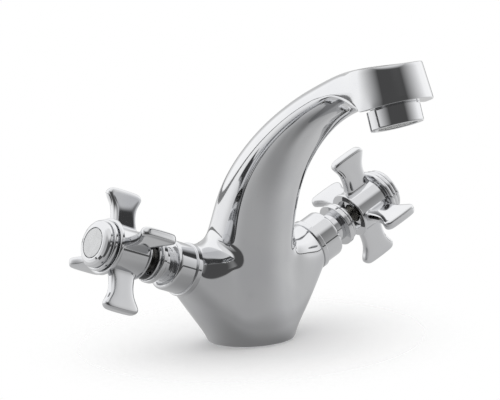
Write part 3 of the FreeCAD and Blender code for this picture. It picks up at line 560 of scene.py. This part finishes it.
@dataclass
class Casting:
    """The one-piece body: foot, column, two valve limbs and the swan spout."""

    # The cage
    around: int = 16
    cage_growth: float = 1.026
    subdivisions: int = 3
    smooth_angle: float = 60.0
    near: float = 0.1
    # The foot: half width, half depth and height of its sections, and what is cut into it
    round_fullness: float = 0.5523
    foot: list[Triple] = field(default_factory=lambda: [
        (20.6, 20.6, 0.0), (21.5, 21.4, 0.35), (22.2, 21.85, 1.2), (22.9, 21.95, 2.6), (24.6, 22.0, 5.5)])
    foot_plane: float = 0.01
    groove_radii: Span = (16.0, 19.05)
    groove_depth: float = 1.95
    cut_past: float = 1.0
    foot_holes: tuple[Triple, ...] = ((4.5, 9.0, -3.0), (4.5, -9.0, -3.0), (3.4, 0.0, 10.5))
    hole_depth: float = 14.0
    hole_sides: int = 64
    cut_angle: float = 50.0
    # The column and the spout along its two bends
    column_rise: float = 27.5
    lower_radius: float = 95.4
    lower_angle: float = 42.9
    upper_radius: float = 140.6
    upper_angle: float = 42.0
    stations: list[Station] = field(default_factory=lambda: [
        Station(-0.45, 0.0, 23.5, 22.0),
        Station(0.0, 0.0, 21.2, 22.0),
        Station(0.25, 0.0, 20.6, 21.1),
        Station(0.5, 0.0, 20.0, 19.55),
        Station(0.58, 0.0, 19.8, 18.7),
        Station(0.78, 0.0, 19.2, 16.1),
        Station(1.0, 0.0, 18.4, 13.35),
        Station(1.0, 1 / 6, 17.45, 11.4),
        Station(1.0, 1 / 3, 16.6, 9.85, 0.62, 0.2),
        Station(1.0, 1 / 2, 16.2, 9.05, 0.64, 0.1, 0.6),
        Station(1.0, 2 / 3, 16.4, 8.8, 0.7, 0.0, 0.56),
        Station(1.0, 0.8, 17.2, 9.2, 0.84, -0.2, 0.5),
        Station(1.0, 0.9, 18.2, 9.6, 0.93, 3.2, 0.5),
    ])
    below_limbs: int = 2
    above_limbs: int = 4
    saddle: tuple[tuple[float, ...], ...] = ((44.5, 43.0, 37.5, 39.0, 40.5), (58.5, 55.0, 48.0, 50.5, 53.0))
    # The head
    outlet_tilt: float = 17.7
    top_tilt: float = 9.4
    head_rise: float = 9.9
    head_drop: float = 9.5
    head_top_radius: float = 17.9
    head_lip_radius: float = 19.25
    wall_share: float = 0.6
    top_share: float = 0.55
    lip_shares: Triple = (0.82, 0.55, 0.27)
    spin_steps: int = 8
    spin_merge: float = 0.02
    front_start: float = 0.2
    front_reach: float = 40.0
    front_trim: float = 0.025
    # Creases of the head and the sockets
    lower_creases: tuple[float, ...] = (0.5, 0.7, 0.75)
    rim_creases: tuple[float, ...] = (0.0, 0.3, 0.6)
    lip_crease: float = 0.7
    rim_crease: float = 0.8
    rim_start: float = 0.55
    rim_reach: float = 0.9
    # The limbs: shares of their length, and how far each section sinks inward, swells and sinks down
    socket_reach: float = 40.4
    socket_radius: float = 12.9
    limb_shares: tuple[float, ...] = (0.34, 0.67, 0.96, 1.0)
    hollow: tuple[Triple, ...] = ((3.2, 1.4, 2.2), (2.2, 1.0, 2.2), (0.0, 0.0, 0.0), (0.0, 0.0, 0.0))
    sink_shares: Triple = (1.0, 0.9, 0.3)
    swell_shares: tuple[float, ...] = (0.8, 0.4, -0.7, -1.5, -1.5)

    def spine(self, lower: float, upper: float) -> tuple[Vector, Vector]:
        """Follows the spout's centre line.

        Args:
            lower: share of the lower bend, below 0 on the straight column.
            upper: share of the upper bend.

        Returns:
            The point and the direction of the crown there.
        """
        lean = math.radians(self.lower_angle * max(lower, 0.0))
        further = lean + math.radians(self.upper_angle * upper)
        y = (-self.lower_radius * (1 - math.cos(lean))
             - self.upper_radius * (math.cos(lean) - math.cos(further)))
        z = (self.column_rise * (1 + min(lower, 0.0)) + self.lower_radius * math.sin(lean)
             + self.upper_radius * (math.sin(further) - math.sin(lean)))
        return Vector((0.0, y, z)), Vector((0.0, math.cos(further), math.sin(further)))

    def section(self, centre: Vector, crown: Vector, half_width: float, half_depth: float, fullness: float,
                drop: float = 0.0, underside: Optional[float] = None) -> Ring:
        """Draws one closed oval section.

        Args:
            centre: its middle.
            crown: the direction of its half depth.
            half_width: half size along X.
            half_depth: half size along the crown.
            fullness: how square the oval is.
            drop: how far its widest line lies below its middle.
            underside: how square it is below that line, where that differs.

        Returns:
            The points, counted from +X towards the crown.
        """
        per_quarter = self.around // 4
        ring = []
        for number in range(self.around):
            quarter, step = divmod(number, per_quarter)
            share = step / per_quarter
            rest = 1 - share
            full = fullness if underside is None or quarter < 2 else underside
            side = rest ** 3 + 3 * rest ** 2 * share + 3 * rest * share ** 2 * full
            rise = 3 * rest ** 2 * share * full + 3 * rest * share ** 2 + share ** 3
            wide, deep = ((side, rise), (-rise, side), (-side, -rise), (rise, -side))[quarter]
            depth = half_depth + math.copysign(drop, deep)
            ring.append(centre + Vector((1, 0, 0)) * (half_width * self.cage_growth * wide)
                        + crown * (depth * self.cage_growth * deep - drop))
        return ring

    def outlet(self) -> tuple[Vector, Vector, Vector]:
        """Places the outlet.

        Returns:
            The tip of the spine, the outlet's downward direction and the one to the head's front.
        """
        tilt = math.radians(self.outlet_tilt)
        down = Vector((0.0, -math.sin(tilt), -math.cos(tilt)))
        return self.spine(1.0, 1.0)[0], down, Vector((0.0, down.z, -down.y))

    def head_ring(self) -> Ring:
        """Draws the section through the head's axis: flat top, drafted sides and flat lip.

        Returns:
            The points, counted from the lip's corner on +X towards the top.
        """
        tip, down, _ = self.outlet()
        top, lip = self.head_top_radius * self.cage_growth, self.head_lip_radius * self.cage_growth
        rise, drop = self.head_rise, -self.head_drop
        wall = (lip + (top - lip) * self.wall_share, drop + (rise - drop) * self.wall_share)
        upper = [wall, (top, rise), (top * self.top_share, rise)]
        lower = [(lip * share, drop) for share in self.lip_shares]
        outline = ([(lip, drop), *upper, (0.0, rise), *((-x, z) for x, z in reversed(upper)),
                    (-lip, drop), *((-x, z) for x, z in lower), (0.0, drop), *reversed(lower)])
        return [tip + Vector((x, 0, 0)) - down * z for x, z in outline]

    def column_ring(self, lower: float) -> Ring:
        """Draws a section of the column between two of its stations.

        Args:
            lower: its share of the lower bend.

        Returns:
            The points.
        """
        column = [station for station in self.stations if station.upper == 0.0]
        under = max((each for each in column if each.lower <= lower), key=lambda each: each.lower)
        over = min((each for each in column if each.lower > lower), key=lambda each: each.lower)
        share = (lower - under.lower) / (over.lower - under.lower)
        half_width = under.half_width + (over.half_width - under.half_width) * share
        half_depth = under.half_depth + (over.half_depth - under.half_depth) * share
        return self.section(*self.spine(lower, 0.0), half_width, half_depth, under.fullness)

    def saddle_ring(self, heights: Sequence[float]) -> Ring:
        """Draws a ring on the column that dips beside the limbs.

        Args:
            heights: its heights at the side, then step by step to the front or the back.

        Returns:
            The points.
        """
        half = self.around // 2
        ring = []
        for number in range(self.around):
            height = heights[min(number % half, half - number % half)]
            lean = math.degrees(math.asin((height - self.column_rise) / self.lower_radius))
            ring.append(self.column_ring(lean / self.lower_angle)[number])
        return ring

    def rings(self) -> list[Ring]:
        """Draws all sections from the foot to the head's axis.

        Returns:
            The sections.
        """
        straight = Vector((0.0, 1.0, 0.0))
        rings = [self.section(Vector((0, 0, z)), straight, wide, deep, self.round_fullness)
                 for wide, deep, z in self.foot]
        plain = []
        for station in self.stations:
            centre, crown = self.spine(station.lower, station.upper)
            plain.append(self.section(centre, crown, station.half_width, station.half_depth,
                                      station.fullness, station.drop, station.underside))
        return (rings + plain[:self.below_limbs] + [self.saddle_ring(heights) for heights in self.saddle]
                + plain[self.above_limbs:] + [self.head_ring()])

    def build(self) -> bpy.types.Object:
        """Models the casting as one cage and subdivides it.

        Returns:
            The casting without its foot's groove and holes.
        """
        rings = self.rings()
        modeller = Modeller("casting_skin", rings[0])
        for ring in rings[1:]:
            modeller.extrude_to(ring)
        self.spin_head(modeller)
        for sign in (1, -1):
            self.pull_limb(modeller, rings, sign)
        modeller.select("EDGE", lambda edge: all(vertex.co.z < MM * self.foot_plane for vertex in edge.verts))
        modeller.cap()
        along = self.edge_creases(rings)
        modeller.crease(lambda first, second: along.get(frozenset((key(first * MM), key(second * MM))))
                        or self.crease_weight(first, second))
        return modeller.done(self.subdivisions, self.smooth_angle)

    def spin_head(self, modeller: Modeller) -> None:
        """Spins the right half of the last ring forward on to its left half, and tilts the head's top.

        Args:
            modeller: the cage so far.
        """
        quarter = self.around // 4
        numbers = modeller.open_ring
        chosen = set(numbers[-quarter:] + numbers[:quarter + 1])
        modeller.select("EDGE", lambda edge: all(vertex.index in chosen for vertex in edge.verts))
        tip, down, forward = self.outlet()
        bpy.ops.mesh.spin(steps=self.spin_steps, angle=-math.pi, center=tip * MM, axis=down)
        bpy.ops.mesh.select_all(action="SELECT")
        bpy.ops.mesh.remove_doubles(threshold=MM * self.spin_merge)
        slope = math.tan(math.radians(self.outlet_tilt - self.top_tilt))
        for vertex in modeller.mesh().verts:
            offset = vertex.co / MM - tip
            ahead = offset.dot(forward)
            share = (self.head_drop - offset.dot(down)) / (self.head_drop + self.head_rise)
            if ahead > self.front_start and offset.length < self.front_reach:
                vertex.co += (down * (slope * max(share, 0.0)) - forward * self.front_trim) * (ahead * MM)
        modeller.show()

    def pull_limb(self, modeller: Modeller, rings: list[Ring], sign: int) -> None:
        """Extrudes the side patch of the column out to a valve socket.

        Args:
            modeller: the cage so far.
            rings: all sections.
            sign: +1 for the limb on +X, -1 for the other.
        """
        half = self.around // 8
        first = len(self.foot) - 1
        side = 0 if sign > 0 else self.around // 2
        starts = {(row, column): rings[first + half + row][(side + sign * column) % self.around]
                  for row in range(-half, half + 1) for column in range(-half, half + 1)}
        placed = {key(place * MM): cell for cell, place in starts.items()}
        count = modeller.select("FACE", lambda face: all(key(vertex.co) in placed for vertex in face.verts))
        LOG.info("limb patch of %d faces", count)
        for share, hollow in zip(self.limb_shares, self.hollow):
            bpy.ops.mesh.extrude_region()
            following = {}
            for vertex in modeller.mesh().verts:
                if vertex.select:
                    cell = placed[key(vertex.co)]
                    vertex.co = self.limb_point(starts[cell], cell, share, hollow, sign) * MM
                    following[key(vertex.co)] = cell
            placed = following
            modeller.show()

    def limb_point(self, start: Vector, cell: tuple[int, int], share: float, hollow: Triple,
                   sign: int) -> Vector:
        """Places a cage point of a limb.

        Args:
            start: its place on the column.
            cell: its row and column in the patch.
            share: how far out it is, from 0 at the column to 1 at the socket.
            hollow: how far the top sinks inward, the sides swell and the top sinks down.
            sign: +1 for the limb on +X, -1 for the other.

        Returns:
            The place.
        """
        row, column = cell
        half = self.around // 8
        level = max(abs(row), abs(column))
        if level == 0:
            angle = 0.0
        elif abs(column) == level:
            angle = math.radians(45 * row / level) if column > 0 else math.pi - math.radians(45 * row / level)
        else:
            angle = math.copysign(1, row) * (math.pi / 2 - math.radians(45 * column / level))
        outward = valve_axis(sign)
        upward = Vector((-sign * outward.z, 0, sign * outward.x))
        radius = self.socket_radius * self.cage_growth * level / half
        end = (Vector((0, 0, VALVE_RISE)) + outward * self.socket_reach
               + Vector((0, 1, 0)) * (radius * math.cos(angle)) + upward * (radius * math.sin(angle)))
        sunk = self.sink_shares[abs(column)] if row == half else 0.0
        swell = self.swell_shares[row + half] if abs(column) == half else 0.0
        inward, aside, lower = hollow
        shift = Vector((-sign * inward * sunk, math.copysign(aside * swell, column), -lower * sunk))
        return start.lerp(end, share) + shift

    def edge_creases(self, rings: list[Ring]) -> dict[frozenset, float]:
        """Creases the edges that run along the last sections into the head.

        Args:
            rings: all sections.

        Returns:
            The crease of each edge of the head's lower edge and of its top rim, by the edge's two ends.
        """
        half, corner = self.around // 2, self.around // 8
        count = len(self.lower_creases)
        pairs = zip(rings[-count - 1:], rings[-count:], self.lower_creases, self.rim_creases)
        creases = {}
        for ring, further, lower, rim in pairs:
            for place, weight in ((0, lower), (half, lower), (corner, rim), (half - corner, rim)):
                creases[frozenset((key(ring[place] * MM), key(further[place] * MM)))] = weight
        return creases

    def crease_weight(self, first: Vector, second: Vector) -> float:
        """Keeps the head's rims and the socket rims crisp.

        Args:
            first: one end of the edge.
            second: its other end.

        Returns:
            The crease from 0 to 1.
        """
        ends = (first, second)
        tip, down, forward = self.outlet()
        heights = [-(place - tip).dot(down) for place in ends]
        ahead = [(place - tip).dot(forward) for place in ends]
        reaches = [math.hypot(place.x, reach) for place, reach in zip(ends, ahead)]
        if min(ahead) > -self.near and min(reaches) > self.head_top_radius * self.rim_reach:
            if max(heights) < self.near - self.head_drop:
                return self.lip_crease
            if min(heights) > self.head_rise * self.rim_start:
                return self.rim_crease
        axis = valve_axis(1)
        offsets = [Vector((abs(place.x), place.y, place.z - VALVE_RISE)) for place in ends]
        on_face = all(abs(offset.dot(axis) - self.socket_reach) < self.near for offset in offsets)
        on_rim = min(offset.cross(axis).length for offset in offsets) > self.socket_radius * self.rim_reach
        return 1.0 if on_face and on_rim else 0.0

    def drill(self, casting: bpy.types.Object) -> None:
        """Cuts the seal groove, the two inlets and the stud hole into the foot.

        Args:
            casting: the casting.
        """
        inner, outer = self.groove_radii
        past, depth = -self.cut_past, self.groove_depth
        corners = ((inner, past), (outer, past), (outer, depth), (inner, depth), (inner, past))
        cutters = [turned("groove", [(radius, station, 0.0) for radius, station in corners])]
        for radius, x, y in self.foot_holes:
            bpy.ops.mesh.primitive_cylinder_add(vertices=self.hole_sides, radius=radius * MM,
                                                depth=self.hole_depth * 2 * MM, location=(x * MM, y * MM, 0.0))
            cutters.append(bpy.context.active_object)
        for cutter in cutters:
            modifier = casting.modifiers.new("cut", "BOOLEAN")
            modifier.operation = "DIFFERENCE"
            modifier.object = cutter
            bpy.ops.object.select_all(action="DESELECT")
            casting.select_set(True)
            bpy.context.view_layer.objects.active = casting
            bpy.ops.object.modifier_apply(modifier=modifier.name)
            bpy.data.objects.remove(cutter)
        bpy.ops.object.shade_smooth_by_angle(angle=math.radians(self.cut_angle))

    def hand_in(self) -> None:
        """Builds, drills and dresses the casting."""
        casting = self.build()
        self.drill(casting)
        hand_in(casting, Body.TAP, CHROME, ["body_casting"])


# Valve trim and handles

@dataclass
class Arm:
    """One of a handle's four arms, along X, its width along Z and its thickness along Y.

    Each section has its reach, half width, half thickness and share of the tip's crown.
    """

    middle: float = 80.25
    crown_radius: float = 60.0
    edge: float = 1.7
    edge_thickness: float = 2.2
    side_bulge: float = 0.12
    side_round: Span = (0.3, 0.78)
    shoulder_rise: float = 1.03
    sections: list[tuple[float, float, float, float]] = field(default_factory=lambda: [
        (8.6, 8.8, 3.2, 0.0), (10.7, 8.5, 3.0, 0.0), (11.5, 7.8, 2.7, 0.0), (12.8, 7.2, 2.58, 0.0),
        (16.0, 6.75, 2.55, 0.0), (19.5, 6.75, 2.54, 0.1), (22.5, 7.3, 2.52, 0.3), (25.2, 8.6, 2.5, 0.5),
        (27.1, 9.6, 2.5, 0.6), (28.4, 10.08, 2.5, 0.6), (29.4, 9.93, 2.5, 0.6), (30.3, 9.3, 2.35, 0.6),
        (30.9, 8.3, 1.9, 0.6), (31.1, 6.8, 1.0, 0.6)])

    def ring(self, reach: float, wide: float, thickness: float, crown: float) -> Ring:
        """Draws one section of the arm.

        Args:
            reach: distance from the valve axis.
            wide: its half width.
            thickness: its half thickness.
            crown: share of the tip's crown that bends it.

        Returns:
            The points.
        """
        shoulder = wide - self.edge * thickness / self.edge_thickness
        inset, side = self.side_round
        quarter = [(wide + self.side_bulge, 0.0), (wide - inset, side), (shoulder, self.shoulder_rise),
                   (0.0, 1.0)]
        outline = (quarter + [(-z, y) for z, y in reversed(quarter[:-1])]
                   + [(-z, -y) for z, y in quarter[1:]] + [(z, -y) for z, y in reversed(quarter[1:-1])])
        return [Vector((reach - crown * z * z / (2 * self.crown_radius), y * thickness, self.middle + z))
                for z, y in outline]

    def build(self) -> bpy.types.Object:
        """Models the arm as a subdivided cage.

        Returns:
            The arm.
        """
        modeller = Modeller("handle_arm", self.ring(*self.sections[0]))
        for section in self.sections[1:]:
            modeller.extrude_to(self.ring(*section))
        modeller.cap()
        return modeller.done(subdivisions=2, smooth_angle=60.0)


@dataclass
class ValveTrim:
    """The turned pieces and the cross handle of one valve, modelled along Z."""

    hot_angle: float = 23.35
    cold_angle: float = 5.36
    arms: int = 4
    bonnet: tuple[Corner, ...] = (
        (6.9, 40.4, 0.0), (13.4, 40.4, 0.5), (13.4, 43.4, 0.8), (12.5, 43.4, 0.2), (12.5, 54.0, 3.2),
        (8.9, 54.0, 0.15), (8.9, 55.0, 0.3), (7.9, 55.0, 0.15), (7.9, 60.5, 0.2), (6.9, 60.5, 0.0),
        (6.9, 40.4, 0.0))
    collar: tuple[Corner, ...] = (
        (6.7, 60.5, 0.0), (11.4, 60.5, 0.5), (11.4, 63.4, 0.7), (9.6, 63.4, 0.12), (9.6, 64.0, 0.12),
        (10.4, 64.0, 0.3), (10.4, 65.5, 0.7), (6.7, 65.5, 0.0), (6.7, 60.5, 0.0))
    hub: tuple[Corner, ...] = (
        (5.0, 73.0, 0.0), (8.2, 73.0, 0.2), (8.2, 70.5, 0.3), (11.9, 70.5, 0.5), (11.9, 71.7, 0.5),
        (11.3, 71.7, 0.15), (11.3, 88.8, 0.25), (13.9, 88.8, 0.8), (13.9, 91.1, 0.8), (11.0, 91.1, 0.15),
        (11.0, 91.7, 0.15), (12.6, 91.7, 0.8), (12.6, 94.0, 0.8), (11.0, 94.0, 0.15), (11.0, 94.6, 0.1),
        (5.0, 94.6, 0.0), (5.0, 73.0, 0.0))
    index_cap: tuple[Corner, ...] = (
        (0.0, 94.6, 0.0), (11.6, 94.6, 0.3), (11.6, 95.9, 0.8), (10.85, 96.75, 0.8), (9.6, 97.45, 0.8),
        (8.4, 97.9, 0.6), (7.6, 97.98, 0.25), (7.5, 97.0, 0.1), (0.0, 97.0, 0.0))
    index_disc: tuple[Corner, ...] = (
        (0.0, 97.0, 0.0), (7.35, 97.0, 0.1), (7.2, 97.95, 0.3), (0.0, 98.0, 0.0))

    def matrix(self, sign: int, turn: float) -> Matrix:
        """Places a valve's own frame.

        Args:
            sign: +1 for the cold side on +X, -1 for the hot side.
            turn: how far the piece is turned about the axis.

        Returns:
            The matrix from the valve's frame, in metres.
        """
        axis, front = valve_axis(sign), Vector((0, -1, 0))
        rotation = Matrix((front, axis.cross(front), axis)).transposed().to_4x4()
        return (Matrix.Translation((0, 0, VALVE_RISE * MM)) @ rotation
                @ Matrix.Rotation(math.radians(turn), 4, "Z"))

    def handle(self) -> bpy.types.Object:
        """Joins the turned hub and four copies of the arm.

        Returns:
            The handle.
        """
        hub = turned("handle", self.hub)
        arm = Arm().build()
        copies = [placed_copy(arm, f"arm_{number}", Matrix.Rotation(math.tau * number / self.arms, 4, "Z"))
                  for number in range(self.arms)]
        bpy.data.objects.remove(arm)
        bpy.ops.object.select_all(action="DESELECT")
        for piece in (hub, *copies):
            piece.select_set(True)
        bpy.context.view_layer.objects.active = hub
        bpy.ops.object.join()
        return hub

    def hand_in(self) -> None:
        """Builds each piece once and copies it to the hot and the cold side."""
        fixed = {"bonnet": (turned("bonnet", self.bonnet), CHROME, Slot.CHROME),
                 # The collar carries the painted shade of the gap under the hub.
                 "collar": (turned("collar", self.collar), CHROME_WITH_PAINTED_SHADE, Slot.CHROME)}
        turning = {"handle": (self.handle(), CHROME, Slot.CHROME),
                   "index_cap": (turned("index_cap", self.index_cap), CHROME, Slot.CHROME),
                   "index_disc": (turned("index_disc", self.index_disc), SATIN, Slot.SATIN)}
        sides = (("hot", -1, self.hot_angle, Body.HOT), ("cold", 1, self.cold_angle, Body.COLD))
        for side, sign, angle, body in sides:
            for pieces, turn, rides in ((fixed, 0.0, Body.TAP), (turning, angle, body)):
                for name, (source, finish, slot) in pieces.items():
                    copy = placed_copy(source, f"{side}_{name}_skin", self.matrix(sign, turn))
                    hand_in(copy, rides, finish, [f"{side}_{name}"])
        for source, _, _ in (*fixed.values(), *turning.values()):
            bpy.data.objects.remove(source)


@dataclass
class Aerator:
    """The threaded housing under the spout's head."""

    housing: tuple[Corner, ...] = (
        (10.6, 0.0, 0.0), (12.5, 0.0, 0.1), (12.5, 9.0, 0.6), (9.4, 9.0, 0.3), (9.4, 8.0, 0.15),
        (10.6, 8.0, 0.1), (10.6, 0.0, 0.0))

    def hand_in(self, casting: Casting) -> None:
        """Turns the housing and places it below the head's lip.

        Args:
            casting: the casting that it is screwed into.
        """
        tip, down, _ = casting.outlet()
        mouth = (tip + down * casting.head_drop) * MM
        turn = Vector((0, 0, 1)).rotation_difference(down).to_matrix().to_4x4()
        source = turned("aerator", self.housing)
        housing = placed_copy(source, "aerator_housing_skin", Matrix.Translation(mouth) @ turn)
        hand_in(housing, Body.TAP, CHROME, ["aerator_housing"])
        bpy.data.objects.remove(source)


# Studio

@dataclass
class Studio:
    """White room, pale floor, glossy-only cards that the chrome mirrors, and the camera."""

    # The camera, placed in millimetres
    camera_place: Triple = (-765.4, -1061.3, 315.2)
    camera_right: Triple = (0.8037, -0.5931, -0.0476)
    camera_up: Triple = (0.1471, 0.1206, 0.9817)
    camera_back: Triple = (-0.5766, -0.7960, 0.1842)
    lens: float = 193.9
    sensor_width: float = 36.0
    clip_end: float = 20.0
    # Light on the object and the floor
    diffuse_level: float = 0.94
    key_place: Triple = (-0.6, -0.5, 1.4)
    key_target: Triple = (0.0, 0.0, 0.06)
    key_size: float = 1.2
    key_energy: float = 2.0
    floor_size: float = 3.0
    floor_gap: float = 0.0002
    floor_colour: Triple = (0.94, 0.94, 0.94)
    floor_roughness: float = 0.9
    floor_fade: Span = (0.02, 0.12)
    # The mirrored room
    card_level: float = 1.34
    card_sides: int = 64
    dark_azimuth: float = 10.0
    dark_level: float = 0.07
    back_azimuth: float = 180.0
    back_reach: Span = (0.75, 0.97)
    back_shade: float = 0.5
    room_radius: float = 3.0
    wall_start: float = 0.09
    wall_gain: float = 1.9
    wall_curve: float = 0.85
    ceiling_start: Span = (0.52, 0.82)
    ceiling_level: float = 0.8
    # The mirrored table, and the line where it meets the room
    table_size: float = 5.0
    table_lift: float = 0.0005
    table_end: Span = (0.17, 0.22)
    table_level: float = 0.19
    ring_spans: tuple[Span, ...] = ((0.022, 0.05), (0.05, 0.1))
    ring_gain: float = 0.09
    aside_span: Span = (0.1, 0.95)
    aside_gain: float = 0.15
    behind_span: Span = (0.6, 1.5)
    behind_reach: Span = (0.1, 0.4)
    behind_gain: float = 0.4
    shade_reach: Span = (0.1, 0.3)
    horizon_radius: float = 1.3
    horizon_height: float = 0.05
    horizon_fade: Span = (-0.2, 0.6)
    horizon_back: float = 0.14

    def mirrored_only(self, name: str, glow: Callable[[Graph], Value]) -> None:
        """Makes the newest object a card that only mirror rays see.

        Args:
            name: the card's name.
            glow: builds its brightness in the material's graph.
        """
        card = bpy.context.active_object
        card.name = name
        material, graph = new_material(f"{name}_light")
        shader = graph.add("ShaderNodeEmission", {}, {"Color": glow(graph), "Strength": self.card_level})
        graph.add("ShaderNodeOutputMaterial", {}, {"Surface": shader.outputs[0]})
        card.data.materials.append(material)
        card.visible_camera = card.visible_diffuse = card.visible_shadow = card.visible_transmission = False

    def heading(self, azimuth: float) -> Vector:
        """Finds a level direction in the room.

        Args:
            azimuth: degrees to the right of the camera's side.

        Returns:
            The direction.
        """
        ahead = Vector((self.camera_back[0], self.camera_back[1], 0.0)).normalized()
        right = Vector((self.camera_right[0], self.camera_right[1], 0.0)).normalized()
        turn = math.radians(azimuth)
        return ahead * math.cos(turn) + right * math.sin(turn)

    def room_glow(self, graph: Graph) -> Value:
        """Lights the walls and the ceiling, and darkens the unlit side behind the camera.

        Args:
            graph: the card's graph.

        Returns:
            The brightness.
        """
        away = (1.0 - graph.bearing(graph.flat(), self.heading(self.dark_azimuth))) * 0.5
        walls = ((away - self.wall_start) * self.wall_gain).clamped().math("POWER", self.wall_curve)
        place = graph.coordinates()
        ceiling = graph.bearing(place, Vector((0.0, 0.0, 1.0))).step(*self.ceiling_start)
        lit = walls.math("MAXIMUM", ceiling * self.ceiling_level)
        back = graph.bearing(place, self.heading(self.back_azimuth)).step(*self.back_reach)
        return (lit * (1.0 - self.dark_level) + self.dark_level) * (1.0 - back * self.back_shade)

    def table_glow(self, graph: Graph) -> Value:
        """Shades a grey table, darker at the foot, lighter aside and behind, that ends towards the camera.

        Args:
            graph: the card's graph.

        Returns:
            The brightness.
        """
        place, reach = graph.flat(), graph.from_middle()
        facing = graph.bearing(place, self.heading(self.dark_azimuth))
        aside = 1.0 - facing.step(*self.aside_span)
        behind = (1.0 - facing).step(*self.behind_span) * reach.step(*self.behind_reach)
        rings = sum((reach.step(*span) for span in self.ring_spans), 0.0)
        level = rings * self.ring_gain + aside * self.aside_gain + behind * self.behind_gain + self.table_level
        end = graph.along(place, self.heading(0.0)).step(*self.table_end)
        back = graph.bearing(place, self.heading(self.back_azimuth)).step(*self.back_reach)
        shade = back * reach.step(*self.shade_reach) * self.back_shade
        return level * (1.0 - end) * (1.0 - shade) + end * self.dark_level

    def horizon_glow(self, graph: Graph) -> Value:
        """A dark line on the camera's side of the room that pales towards the back."""
        back = graph.bearing(graph.flat(), self.heading(self.back_azimuth)).step(*self.horizon_fade)
        return back * self.horizon_back + self.dark_level

    def world(self) -> None:
        """White for camera, mirror and through rays, softer for diffuse ones."""
        world = bpy.data.worlds.new("studio")
        bpy.context.scene.world = world
        world.use_nodes = True
        graph = Graph(world.node_tree)
        path = graph.add("ShaderNodeLightPath")
        rays = ("Is Camera Ray", "Is Glossy Ray", "Is Transmission Ray")
        direct = sum((Value(graph, path.outputs[name]) for name in rays), 0.0).clamped()
        strength = direct * (1.0 - self.diffuse_level) + self.diffuse_level
        shader = graph.add("ShaderNodeBackground", {}, {"Color": (1.0, 1.0, 1.0, 1.0), "Strength": strength})
        graph.add("ShaderNodeOutputWorld", {}, {"Surface": shader.outputs[0]})

    def floor(self) -> None:
        """A pale floor that fades into the white away from the object."""
        bpy.ops.mesh.primitive_plane_add(size=self.floor_size, location=(0.0, 0.0, -self.floor_gap))
        floor = bpy.context.active_object
        floor.name = "floor"
        material, graph = new_material("pale_floor")
        graph.principled(Base_Color=(*self.floor_colour, 1.0), Roughness=self.floor_roughness,
                         Alpha=1.0 - graph.from_middle().step(*self.floor_fade))
        floor.data.materials.append(material)
        floor.visible_glossy = False

    def cards(self) -> None:
        """The walls, the grey table and the dark line where they meet, seen only in the chrome."""
        bpy.ops.mesh.primitive_uv_sphere_add(segments=self.card_sides, ring_count=self.card_sides // 2,
                                             radius=self.room_radius)
        self.mirrored_only("mirrored_room", self.room_glow)
        bpy.ops.mesh.primitive_plane_add(size=self.table_size, location=(0.0, 0.0, self.table_lift))
        self.mirrored_only("mirrored_table", self.table_glow)
        bpy.ops.mesh.primitive_cylinder_add(vertices=self.card_sides, radius=self.horizon_radius,
                                            depth=self.horizon_height, end_fill_type="NOTHING",
                                            location=(0.0, 0.0, self.horizon_height / 2))
        self.mirrored_only("mirrored_horizon", self.horizon_glow)

    def key_light(self) -> None:
        """A large soft light above, for the floor and the paler pieces."""
        bpy.ops.object.light_add(type="AREA", location=self.key_place)
        light = bpy.context.active_object
        light.data.shape = "SQUARE"
        light.data.size = self.key_size
        light.data.energy = self.key_energy
        aim = Vector(self.key_target) - light.location
        light.rotation_euler = aim.to_track_quat("-Z", "Y").to_euler()
        light.visible_glossy = False

    def camera(self) -> None:
        """The camera of the photograph."""
        data = bpy.data.cameras.new("photo_camera")
        data.lens = self.lens
        data.sensor_width = self.sensor_width
        data.clip_end = self.clip_end
        camera = bpy.data.objects.new("photo_camera", data)
        bpy.context.scene.collection.objects.link(camera)
        rotation = Matrix((self.camera_right, self.camera_up, self.camera_back)).transposed().to_4x4()
        camera.matrix_world = Matrix.Translation(Vector(self.camera_place) * MM) @ rotation
        bpy.context.scene.camera = camera

    def build(self) -> None:
        """Sets the whole studio."""
        bpy.context.scene.view_settings.view_transform = "Standard"
        self.world()
        self.floor()
        self.cards()
        self.key_light()
        self.camera()


def dress_nodes() -> None:
    """Gives each CAD node the finish of its slot."""
    slots = {subpart["node"]: subpart["material_slot"] for subpart in frame["record"]["subparts"]}
    for name, node in frame["nodes"].items():
        dress(node, NODE_FINISHES[Slot(slots[name])])
        LOG.info("%s is dressed as %s", name, slots[name])


def main() -> None:
    """Builds every piece in order and sets the studio."""
    logging.basicConfig(level=logging.INFO)
    dress_nodes()
    casting = Casting()
    casting.hand_in()
    ValveTrim().hand_in()
    Aerator().hand_in(casting)
    Studio().build()


if __name__ == "__main__":
    main()
